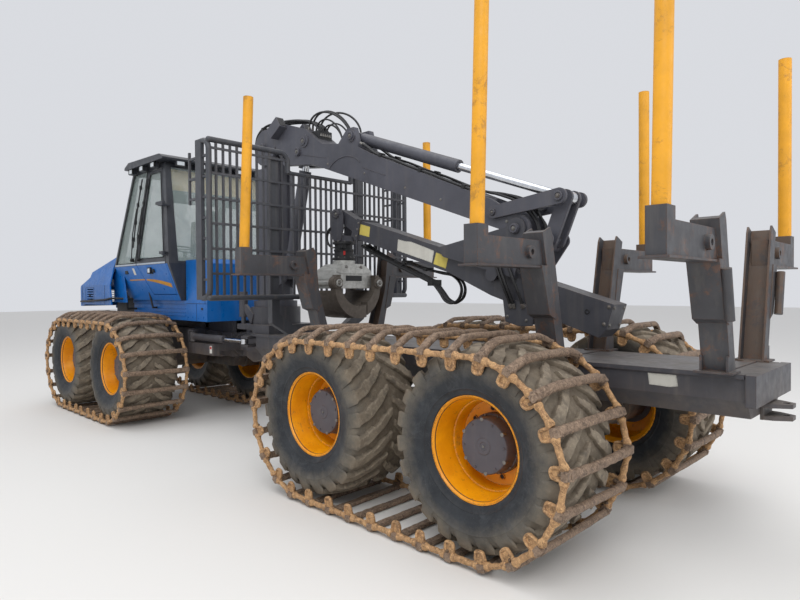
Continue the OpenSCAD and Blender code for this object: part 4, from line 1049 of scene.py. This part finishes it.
def make_roof_lamps():
    """Glass of the work lamps under the roof's edge, on the lamps' outer faces."""
    bm = bmesh.new()
    z0, z1 = CAB_TOP - 0.032, CAB_TOP + 0.022
    for y in (0.25, 0.56):
        for side in (-1, 1):
            for x in ((1.970, 1.977), (3.248, 3.255)):
                add_side_box(bm, side, x, (y + 0.012, y + 0.118), (z0, z1))
    for x in (2.25, 2.62, 2.99):
        for side in (-1, 1):
            add_side_box(bm, side, (x + 0.012, x + 0.118), (0.878, 0.884), (z0 - 0.006, z1))
    finish_piece("roof_lamp_glass", bm, "lens", "front_frame", bevel=0.003)
    bm = bmesh.new()
    for x in (2.25, 2.62, 2.99):
        for side in (-1, 1):
            for ends in ((x - 0.002, x + 0.012), (x + 0.118, x + 0.132)):
                add_side_box(bm, side, ends, (0.86, 0.888), (z0 - 0.012, z1 + 0.006))
    finish_piece("roof_lamp_frames", bm, "black", "front_frame", bevel=0.002)


def make_hood_sides():
    """Blue panels between the cab's lower front and the hood, inside the hood's sides."""
    bm = bmesh.new()
    for side in (-1, 1):
        add_slab(bm, [(3.45, 1.60), (3.97, 1.60), (3.97, 2.06), (3.86, 2.16), (3.60, 2.16)], side * 0.790,
                 side * 0.798)
    finish_piece("hood_side_panels", bm, "blue", "front_frame")


def make_visors():
    """Roller blind inside the rear window, with the dark film under it."""
    rear_x = CAB_REAR_X + 0.21 * rise(3.30) + 0.075
    for name, mat, thick, low, high in (("rear_blind", "shade", 0.006, 3.20, 3.49),
                                        ("rear_blind_film", "film", 0.004, 3.02, 3.20)):
        bm = bmesh.new()
        add_box(bm, (rear_x, -0.70, low), (rear_x + thick, 0.70, high))
        finish_piece(name, bm, mat, "front_frame")


def make_steps_and_rails():
    """Handrails beside the hood, treads of the steps and seams of the blue panels."""
    bm = bmesh.new()
    for side in (-1, 1):
        rail = [(3.55, side * 0.62, 1.66), (3.62, side * 0.80, 1.66), (3.72, side * 0.93, 1.665),
                (3.90, side * 0.965, 1.645), (4.60, side * 0.965, 1.62), (4.96, side * 0.965, 1.61),
                (5.02, side * 0.93, 1.61)]
        add_sweep(bm, smooth_path(rail, 6), ring(0.017, 10), 0)
        add_rod(bm, (3.60, side * 0.74, 1.50), (3.60, side * 0.74, 1.66), 0.016)
        add_rod(bm, (3.60, side * 0.58, 1.50), (3.60, side * 0.745, 1.50), 0.016)
        add_rod(bm, (2.86, side * 0.655, 1.52), (2.90, side * 0.690, 1.76), 0.014)
        add_rod(bm, (2.86, side * 0.58, 1.53), (2.86, side * 0.660, 1.53), 0.014)
    finish_piece("hand_rails", bm, "black", "front_frame")
    bm = bmesh.new()
    for side in (-1, 1):
        for z in (1.42, 1.47, 1.52):
            add_side_box(bm, side, (1.95, 3.55), (0.588, 0.596), (z, z + 0.012))
        for i in range(22):
            x = 2.0 + i * 0.072
            place = Matrix.Translation(Vector((x, side * 0.605, 1.612)))
            add_lathe(bm, [(0, 0), (0.009, 0), (0.009, 0.003), (0, 0.003)], place @ outward(side), 8)
    finish_piece("step_ribs", bm, "blue", "front_frame", bevel=0.002)
    bm = bmesh.new()
    seams = {BODY_SIDE_Y: [(1.315, 1.60, 1.890, 1.60), (1.60, 1.362, 1.60, 1.60),
                           (1.365, 2.09, 1.365, 1.60)],
             HOOD_SIDE_Y: [(4.98, 1.535, 4.98, 1.865), (3.98, 1.565, 3.98, 1.875),
                           (4.45, 1.60, 4.45, 1.84), (4.82, 1.60, 4.82, 1.84),
                           (4.45, 1.60, 4.82, 1.60), (4.45, 1.84, 4.82, 1.84)]}
    for side in (-1, 1):
        for y, lines in seams.items():
            for x0, z0, x1, z1 in lines:
                add_rod(bm, (x0, side * y, z0), (x1, side * y, z1), SEAM_R, 6)
    finish_piece("panel_seams", bm, "black", "front_frame")
    bm = bmesh.new()
    for side in (-1, 1):
        add_side_box(bm, side, (1.42, 1.47), (0.60, 0.616), (1.515, 1.545))
        add_side_box(bm, side, (4.60, 4.66), (0.93, 0.947), (1.70, 1.725))
    finish_piece("panel_latches", bm, "black", "front_frame", bevel=0.004)


def make_seat_details():
    """Steering wheel on its column, arm rests with their levers, and the head rest."""
    bm = bmesh.new()
    add_rod(bm, (3.28, 0, 1.75), (3.14, 0, 2.42), 0.030, 16)
    wheel = Matrix.Translation(Vector((3.13, 0, 2.44))) @ Matrix.Rotation(-0.35, 4, "Y")
    rim = [wheel @ polar(0.17, a) for a in around(24)]
    for k, start in enumerate(rim):
        add_rod(bm, start, rim[(k + 1) % 24], 0.014, 8)
    for side in (-1, 1):
        add_rod(bm, (3.13, 0, 2.44), (3.14, side * 0.16, 2.445), 0.010, 8)
        add_side_box(bm, side, (2.46, 2.86), (0.28, 0.38), (2.22, 2.28))
        add_side_box(bm, side, (2.76, 2.90), (0.30, 0.42), (2.28, 2.31))
        add_rod(bm, (2.84, side * 0.35, 2.30), (2.86, side * 0.35, 2.44), 0.016, 10, r_end=0.024)
        add_side_box(bm, side, (2.50, 2.60), (0.22, 0.30), (2.0, 2.24))
    add_box(bm, (2.30, -0.14, 2.76), (2.38, 0.14, 2.98))
    finish_piece("cab_controls", bm, "black", "front_frame", bevel=0.006)


make_cab_trim()
make_wipers()
make_door_details()
make_roof_lamps()
make_hood_sides()
make_visors()
make_steps_and_rails()
make_seat_details()


# Crane

BOOM_Y = 0.15
STICK_Y = 0.118
FILM_T = 0.0015
STICK_TOP = Vector((-2.319, 0, 2.178))
STICK_SLOPE = math.radians(17.1)
TIP_X = -0.757
CLAW_Y = 0.304
CLAW_Z = 1.85


def on_stick(x, y, z):
    """A point given along the stick, across it and up from its top edge."""
    turn = Matrix.Rotation(-STICK_SLOPE, 4, "Y")
    return STICK_TOP + turn @ Vector((x, y, z))


def add_disc(bm, at, axis, r, h, mat=0, n=28, lip=0.0):
    """A round cap that stands out from a wall."""
    place = aimed(at, axis)
    profile = [(0, -0.003), (r, -0.003), (r, h - 0.003), (r - 0.003, h)]
    if lip:
        profile += [(r - lip, h), (r - lip - 0.003, h - 0.006), (0, h - 0.006)]
    else:
        profile += [(0, h)]
    add_lathe(bm, profile, place, n, mat)


def make_crane_bolts():
    """Pin ends with their keepers, bosses and bolts, on both sides."""
    spots = {"boom": [((-0.10, 3.45), BOOM_Y + 0.012, 0.050, 0.020),
                      ((-1.071, 3.467), BOOM_Y + 0.014, 0.045, 0.016),
                      ((-3.206, 2.287), BOOM_Y + 0.052, 0.040, 0.014),
                      ((-0.21, 3.56), BOOM_Y + 0.012, 0.050, 0.012), ((0.62, 3.62), 0.190, 0.048, 0.014),
                      ((-2.977, 2.448), BOOM_Y + 0.042, 0.028, 0.010)],
             "pillar": [((0.31, 1.98), 0.125, 0.028, 0.016)],
             "knuckle_rocker": [((-3.619, 2.521), 0.190, 0.040, 0.014)],
             "stick": [((-3.295, 1.922), 0.178, 0.028, 0.008)],
             "extension": [((TIP_X, 2.640), 0.100, 0.024, 0.010)]}
    for body, rows in spots.items():
        for i, (at, y, r, h) in enumerate(rows):
            bm = bmesh.new()
            for side in (-1, 1):
                add_disc(bm, (at[0], side * y, at[1]), (0, side, 0), r, h, 0, lip=r * 0.35)
                add_bolt(bm, (at[0], side * (y + h - 0.006), at[1]), (0, side, 0), r * 0.33, 0.012, 1)
            finish_piece(f"{body}_pin_cap_{i}", bm, ["crane", "steel"], body)
    bm = bmesh.new()
    for side in (-1, 1):
        for x, z in ((-0.66, 3.22), (-1.28, 3.03), (-1.88, 2.80), (-2.35, 2.63)):
            add_disc(bm, (x, side * BOOM_Y, z), (0, side, 0), 0.013, 0.004, 1, 14)
        for x, z in ((-3.10, 2.36), (-3.12, 2.21), (-3.29, 2.24)):
            add_bolt(bm, (x, side * (BOOM_Y + 0.002), z), (0, side, 0), 0.010, 0.008, 1)
    finish_piece("boom_bolts", bm, ["crane", "steel"], "boom")
    bm = bmesh.new()
    for side in (-1, 1):
        add_disc(bm, on_stick(-1.62, side * STICK_Y, -0.12), (0, side, 0), 0.022, 0.005, 1, 16, lip=0.008)
        for x, z in ((-1.78, -0.03), (-1.78, -0.17)):
            add_bolt(bm, on_stick(x, side * STICK_Y, z), (0, side, 0), 0.011, 0.009, 0)
        for z in (-0.03, -0.10, -0.175):
            add_bolt(bm, on_stick(1.205, side * (STICK_Y + 0.014), z), (0, side, 0), 0.009, 0.008, 0)
    for y in (-0.09, 0.09):
        for z in (-0.03, -0.17):
            turn = Matrix.Rotation(-STICK_SLOPE, 3, "Y") @ Vector((-1, 0, 0))
            add_bolt(bm, on_stick(-1.812, y, z), turn, 0.011, 0.009, 0)
    finish_piece("stick_bolts", bm, ["steel", "black"], "stick")


def make_boom_lamps():
    """Two square work lamps beside the boom's head."""
    bm = bmesh.new()
    for side in (-1, 1):
        tilt = Matrix.Rotation(math.radians(32), 4, "Y")
        turn = Matrix.Translation(Vector((0.25, side * 0.205, 3.80))) @ tilt
        add_box(bm, (-0.10, -0.055, -0.075), (0.13, 0.055, 0.075), 0, turn)
        add_box(bm, (-0.106, -0.045, -0.062), (-0.098, 0.045, 0.062), 1, turn)
    finish_piece("boom_head_lamps", bm, ["crane", "dark_lens"], "boom", bevel=0.010)


def make_weld_arcs():
    """Raised weld seams where the side plates of the boom's bracket end."""
    bm = bmesh.new()
    for side in (-1, 1):
        y = side * (BOOM_Y + 0.001)
        arc = []
        for k in range(13):
            a = math.radians(150 - k * 10)
            arc.append(Vector((-0.95 - 0.30 * math.cos(a), y, 3.06 + 0.20 * math.sin(a))))
        add_sweep(bm, arc, ring(0.006, 6), 0)
        add_sweep(bm, [Vector((-1.245, y, 3.10)), Vector((-1.60, y, 2.965))], ring(0.004, 6), 0)
        add_sweep(bm, [Vector((-0.62, y, 3.30)), Vector((-0.10, y, 3.42))], ring(0.004, 6), 0)
    finish_piece("boom_welds", bm, "crane", "boom")


def make_labels():
    """Blank films on the stick, the beam and the lower box, worn at their edges."""
    films = (("stick_film_white", "worn_white", "stick", STICK_Y,
              [[(-1.735, 2.175), (-1.75, 2.290), (-1.86, 2.262), (-1.93, 2.255), (-2.12, 2.190),
                (-2.238, 2.146), (-2.211, 2.030), (-2.05, 2.080), (-1.90, 2.125)]]),
             ("stick_film_yellow", "pale_yellow", "stick", STICK_Y,
              [[(-2.264, 2.130), (-2.419, 2.083), (-2.383, 1.970), (-2.228, 2.020)],
               [(-1.171, 2.494), (-1.331, 2.450), (-1.314, 2.342), (-1.160, 2.380)]]),
             ("beam_film", "worn_white", "rear_frame", 0.4205,
              [[(-4.43, 1.190), (-4.62, 1.190), (-4.63, 1.115), (-4.58, 1.105), (-4.44, 1.110)]]),
             ("lower_box_film", "white", "centre_joint", 0.5205,
              [[(1.36, 1.03), (1.42, 1.03), (1.42, 0.93), (1.36, 0.93)]]),
             ("lower_box_film_red", "red", "centre_joint", 0.5222,
              [[(1.37, 1.02), (1.41, 1.02), (1.41, 0.985), (1.37, 0.985)]]))
    for name, mat, body, y, patches in films:
        bm = bmesh.new()
        for points in patches:
            add_slab(bm, points, y, y + FILM_T)
        finish_piece(name, bm, mat, body)


make_crane_bolts()
make_boom_lamps()
make_weld_arcs()
make_labels()


# Hoses

def boom_top(x):
    """Height of the boom's upper side."""
    line = [(-3.18, 2.42), (-2.94, 2.57), (-1.37, 3.235), (-1.18, 3.33), (-1.11, 3.56), (-1.0, 3.56),
            (-0.85, 3.42), (-0.56, 3.47), (-0.25, 3.70), (0.20, 3.85), (0.56, 3.85)]
    for (x0, z0), (x1, z1) in zip(line, line[1:]):
        if x <= x1:
            return z0 + (z1 - z0) * (x - x0) / (x1 - x0)
    return line[-1][1]


def make_hose(name, body, r, points):
    """A hose from one fitting to the next, with a steel ferrule at both ends."""
    path = smooth_path([Vector(p) for p in points], 7)
    bm = bmesh.new()
    add_sweep(bm, path, ring(r, 10), 0)
    hose = finish_piece(name, bm, "hose", body, smooth=60)
    bm = bmesh.new()
    for end, inside in ((path[0], path[2]), (path[-1], path[-3])):
        along = (inside - end).normalized()
        add_rod(bm, end - along * 0.012, end + along * 0.030, r * 1.3, 6)
    ends = finish_piece(f"{name}_ends", bm, "steel", body, bevel=0.001)


ARCH_STEPS = 11


def arch(start, end, bulge):
    """Points of a hose that leaves one fitting and comes back on another in an even bow."""
    start, end, bulge = Vector(start), Vector(end), Vector(bulge)
    turns = [math.pi * k / ARCH_STEPS for k in range(ARCH_STEPS + 1)]
    return [start.lerp(end, (1 - math.cos(t)) / 2) + bulge * math.sin(t) for t in turns]


def make_boom_hoses():
    """Hoses along the boom, over its head and behind it, with their clamps."""
    for i, (y, up) in enumerate(((0.134, 0.013), (0.106, 0.014), (-0.134, 0.013), (-0.106, 0.014))):
        xs = (-1.45, -1.70, -1.95, -2.20, -2.45, -2.70)
        points = [(-1.215, y, 3.365), (-1.30, y, boom_top(-1.30) + 0.045)]
        points += [(x, y, boom_top(x) + up + 0.006 * (k % 2)) for k, x in enumerate(xs)]
        turn = math.copysign(0.048 + 0.024 * (i % 2), y)
        points += [(-2.86, (y + turn) / 2, 2.650), (-3.02, turn, 2.615 - 0.02 * (i % 2)),
                   (-3.17, turn, 2.555 - 0.03 * (i % 2)), (-3.29, turn, 2.44 - 0.03 * (i % 2)),
                   (-3.355, turn, 2.31), (-3.370, turn, 2.18)]
        make_hose(f"boom_hose_{i + 1}", "boom", 0.012, points)
    for i, y in enumerate((-0.066, -0.034, 0.0, 0.034, 0.066)):
        lift = 0.012 * (i % 2)
        points = [(-0.44, y, 3.600), (-0.40, y, 3.680), (-0.32, y * 1.1, 3.755),
                  (-0.20, y * 1.2, 3.812 + lift), (-0.05, y * 1.2, 3.850 + lift),
                  (0.10, y * 1.2, 3.882 + lift), (0.33, y * 1.1, 3.915 + lift), (0.54, y, 3.932 + lift),
                  (0.70, y, 3.930 + lift), (0.82, y, 3.898 + lift), (0.91, y, 3.835), (0.950, y, 3.755),
                  (0.955, y, 3.705)]
        make_hose(f"head_hose_{i + 1}", "boom", 0.012, points)
    # Side at each end, X at each end, rise and radius of the hoses behind the boom's head
    rows = ((0.090, 0.060, -0.24, -0.98, 0.265, 0.012), (0.055, 0.095, -0.33, -0.86, 0.215, 0.010),
            (0.020, -0.010, -0.22, -0.93, 0.290, 0.012), (-0.020, 0.035, -0.37, -0.80, 0.180, 0.010),
            (-0.060, -0.090, -0.26, -0.97, 0.245, 0.012), (-0.095, -0.050, -0.34, -0.84, 0.200, 0.010))
    for i, (y0, y1, x0, x1, rise_by, r) in enumerate(rows):
        z0 = boom_top(x0) + 0.004
        z1 = boom_top(x1) + 0.004 if abs(y1) > 0.08 else 3.43
        points = arch((x0, y0, z0), (x1, y1, z1), (0, 0, rise_by))
        make_hose(f"valve_hose_{i + 1}", "boom", r, points)
    bm = bmesh.new()
    add_box(bm, (0.865, -0.098, 3.665), (0.965, 0.098, 3.715))
    add_box(bm, (0.70, -0.115, 3.885), (0.74, 0.115, 3.905))
    for side in (-1, 1):
        add_side_box(bm, side, (0.70, 0.74), (0.108, 0.122), (3.80, 3.905))
        add_side_box(bm, side, (0.82, 0.90), (0.098, 0.130), (3.650, 3.700))
    add_box(bm, (-0.44, -0.10, 3.540), (-0.30, 0.10, 3.665))
    add_box(bm, (-0.98, -0.075, 3.405), (-0.76, 0.075, 3.440))
    for x in (-1.52, -2.08, -2.62):
        for side in (-1, 1):
            place = Matrix.Translation(Vector((x, side * 0.12, boom_top(x) + 0.020)))
            slope = Matrix.Rotation(-0.4, 4, "Y")
            add_box(bm, (-0.020, -0.034, -0.024), (0.020, 0.034, 0.020), 0, place @ slope)
    finish_piece("boom_hose_clamps", bm, "black", "boom", bevel=0.004)


def make_stick_hoses():
    """Hoses under the stick in their guide, and those at the knuckle's left side."""
    bm = bmesh.new()
    for side in (-1, 1):
        add_rod(bm, (-1.13, side * 0.058, 2.262), (-1.27, side * 0.058, 2.185), 0.014)
        add_rod(bm, (-1.27, side * 0.058, 2.185), (-2.15, side * 0.058, 1.838), 0.014)
    add_box(bm, (-2.17, -0.075, 1.808), (-2.11, 0.075, 1.868))
    for x, z in ((-1.30, 2.172), (-1.72, 2.008)):
        add_box(bm, (x - 0.02, -0.07, z - 0.018), (x + 0.02, 0.07, z + 0.016))
        add_box(bm, (x - 0.012, -0.012, z), (x + 0.012, 0.012, z + 0.09))
    add_box(bm, (-1.79, -0.065, 2.032), (-1.75, 0.065, 2.075))
    add_box(bm, (-2.08, -0.058, 1.955), (-2.04, 0.058, 1.990))
    finish_piece("stick_hose_guide", bm, "black", "stick", bevel=0.003)
    for i, y in enumerate((-0.042, -0.014, 0.014, 0.042)):
        out = 0.010 * (i % 2)
        points = [(-1.16, y, 2.266), (-1.24, y, 2.222), (-1.45, y, 2.125), (-1.75, y, 2.008),
                  (-2.02, y, 1.902), (-2.14, y, 1.838), (-2.235, y, 1.745), (-2.305, y, 1.672 - out),
                  (-2.395, y, 1.645 - out), (-2.475, y, 1.690 - out), (-2.500 - out, y, 1.770),
                  (-2.465 - out, y, 1.850), (-2.375, y, 1.905 + out), (-2.250, y, 1.928 + out),
                  (-2.06, y, 1.972), (-1.90, y, 2.018), (-1.775, y, 2.058)]
        make_hose(f"stick_hose_{i + 1}", "stick", 0.010, points)
    for i, (x, y) in enumerate(((-3.02, 0.196), (-3.055, 0.200), (-3.145, 0.196))):
        points = [(x + 0.03, y, 2.07), (x, y, 1.97), (x - 0.045, y - 0.004, 1.85),
                  (x - 0.075, y - 0.02, 1.76), (x - 0.095, y - 0.045, 1.68), (x - 0.105, 0.132, 1.615)]
        make_hose(f"knuckle_hose_{i + 1}", "stick", 0.014, points)
    bm = bmesh.new()
    for side in (-1, 1):
        add_slab(bm, [(-3.04, 1.700), (-3.24, 1.660), (-3.315, 1.600), (-3.345, 1.520), (-3.340, 1.455),
                      (-3.20, 1.450), (-3.07, 1.485)], side * 0.1185, side * 0.130)
        for x, z in ((-3.09, 1.53), (-3.28, 1.50), (-3.26, 1.62)):
            add_bolt(bm, (x, side * 0.130, z), (0, side, 0), 0.010, 0.008, 1)
    add_box(bm, (-3.11, 0.178, 2.045), (-2.94, 0.214, 2.085))
    finish_piece("stick_low_plates", bm, ["stick", "steel"], "stick", bevel=0.002)


def make_tip_details():
    """Cheeks of the tip link, the black rotator with its flanges, and its hoses."""
    bm = bmesh.new()
    for side in (-1, 1):
        add_slab(bm, [(-0.700, 2.700), (-0.830, 2.700), (-0.868, 2.600), (-0.868, 2.460), (-0.820, 2.330),
                      (-0.700, 2.330), (-0.655, 2.430), (-0.655, 2.620)], side * 0.0925, side * 0.106)
        add_disc(bm, (TIP_X, side * 0.106, 2.64), (0, side, 0), 0.045, 0.016, 0, lip=0.012)
        add_bolt(bm, (TIP_X, side * 0.118, 2.64), (0, side, 0), 0.014, 0.012, 1)
    at = Matrix.Translation(Vector((TIP_X, 0, 0)))
    body = [(0, 2.118), (0.132, 2.118), (0.132, 2.142), (0.112, 2.148), (0.108, 2.215), (0.116, 2.220),
            (0.116, 2.240), (0.104, 2.245), (0.104, 2.296), (0.126, 2.300), (0.126, 2.324), (0.090, 2.330),
            (0, 2.330)]
    add_lathe(bm, body, at, 36, 2)
    for a in around(10):
        for z in (2.142, 2.324):
            add_bolt(bm, at @ polar(0.119, a, z), (0, 0, 1), 0.009, 0.010, 1, False)
    add_box(bm, (-0.865, 0.060, 2.245), (-0.800, 0.118, 2.290), 2)
    add_box(bm, (-0.868, 0.072, 2.170), (-0.862, 0.098, 2.215), 3)
    finish_piece("rotator_details", bm, ["stick", "steel", "black", "red"], "tip_link", bevel=0.002)
    for i, (y, reach) in enumerate(((0.085, 0.125), (0.052, 0.145), (-0.052, 0.135), (-0.085, 0.120))):
        points = arch((-0.670, y, 2.505), (-0.655, y * 0.8, 2.265), (reach, 0, 0))
        make_hose(f"rotator_hose_{i + 1}", "tip_link", 0.009, points)


def make_grapple_details():
    """Plates and pin ends of the grapple's housing, and bosses of its claws."""
    bm = bmesh.new()
    for end in (-1, 1):
        x = TIP_X + end * 0.171
        for y in (-0.11, 0.11):
            add_bolt(bm, (x, y, 2.03), (end, 0, 0), 0.016, 0.012, 1)
        add_slab(bm, [(-0.20, 2.02), (0.20, 2.02), (0.255, 1.975), (0.20, 1.955), (-0.20, 1.955),
                      (-0.255, 1.975)], *sorted((x, x + end * 0.008)), "yz", 0)
        add_slab(bm, [(-0.12, 1.935), (0.12, 1.935), (0.12, 1.875), (-0.12, 1.875)],
                 *sorted((x - end * 0.012, x + end * 0.004)), "yz", 2)
        for side in (-1, 1):
            add_disc(bm, (TIP_X + end * 0.270, side * CLAW_Y, CLAW_Z), (end, 0, 0), 0.040, 0.014, 0,
                     lip=0.010)
            add_bolt(bm, (TIP_X + end * 0.280, side * CLAW_Y, CLAW_Z), (end, 0, 0), 0.016, 0.012, 1)
    add_rod(bm, (TIP_X, -0.20, 1.955), (TIP_X, 0.20, 1.955), 0.045, 20, 2)
    finish_piece("grapple_details", bm, ["silver", "steel", "black"], "grapple_head",
                 bevel=0.003)
    for word, side in SIDES:
        bm = bmesh.new()
        for end in (-1, 1):
            x = TIP_X + end * 0.250
            along = Matrix.Rotation(end * math.pi / 2, 4, "Y")
            place = Matrix.Translation(Vector((x, side * CLAW_Y, CLAW_Z))) @ along
            add_lathe(bm, [(0.036, -0.004), (0.066, -0.004), (0.066, 0.010), (0.060, 0.014),
                           (0.036, 0.014)], place, 32)
        finish_piece(f"claw_bosses_{word}", bm, "claw", f"claw_{word}")


make_boom_hoses()
make_stick_hoses()
make_tip_details()
make_grapple_details()


# Floor and light

def make_stage():
    bm = bmesh.new()
    add_box(bm, (-60, -60, -0.05), (60, 60, 0))
    mesh = bpy.data.meshes.new("floor")
    bm.to_mesh(mesh)
    bm.free()
    floor = bpy.data.objects.new("floor", mesh)
    bpy.context.scene.collection.objects.link(floor)
    s = Shader("floor_pale")
    s.set(color=srgb(226, 224, 220), rough=0.9)
    mesh.materials.append(s.mat)
    world = bpy.data.worlds.new("studio")
    bpy.context.scene.world = world
    world.use_nodes = True
    back = world.node_tree.nodes["Background"]
    back.inputs["Color"].default_value = (0.93, 0.95, 1.0, 1)
    back.inputs["Strength"].default_value = 0.75
    for name, at, size, power, aim in (("key_light", (-9, 9, 12), 9, 900, (0, 0, 1)),
                                       ("fill_light", (-12, -3, 6), 8, 260, (0, 0, 1.5)),
                                       ("top_light", (2, 2, 14), 12, 600, (0, 0, 1))):
        data = bpy.data.lights.new(name, "AREA")
        data.size = size
        data.energy = power
        lamp = bpy.data.objects.new(name, data)
        lamp.location = at
        lamp.rotation_euler = (Vector(aim) - Vector(at)).to_track_quat("-Z", "Y").to_euler()
        bpy.context.scene.collection.objects.link(lamp)
    bpy.context.scene.view_settings.view_transform = "Standard"


make_stage()
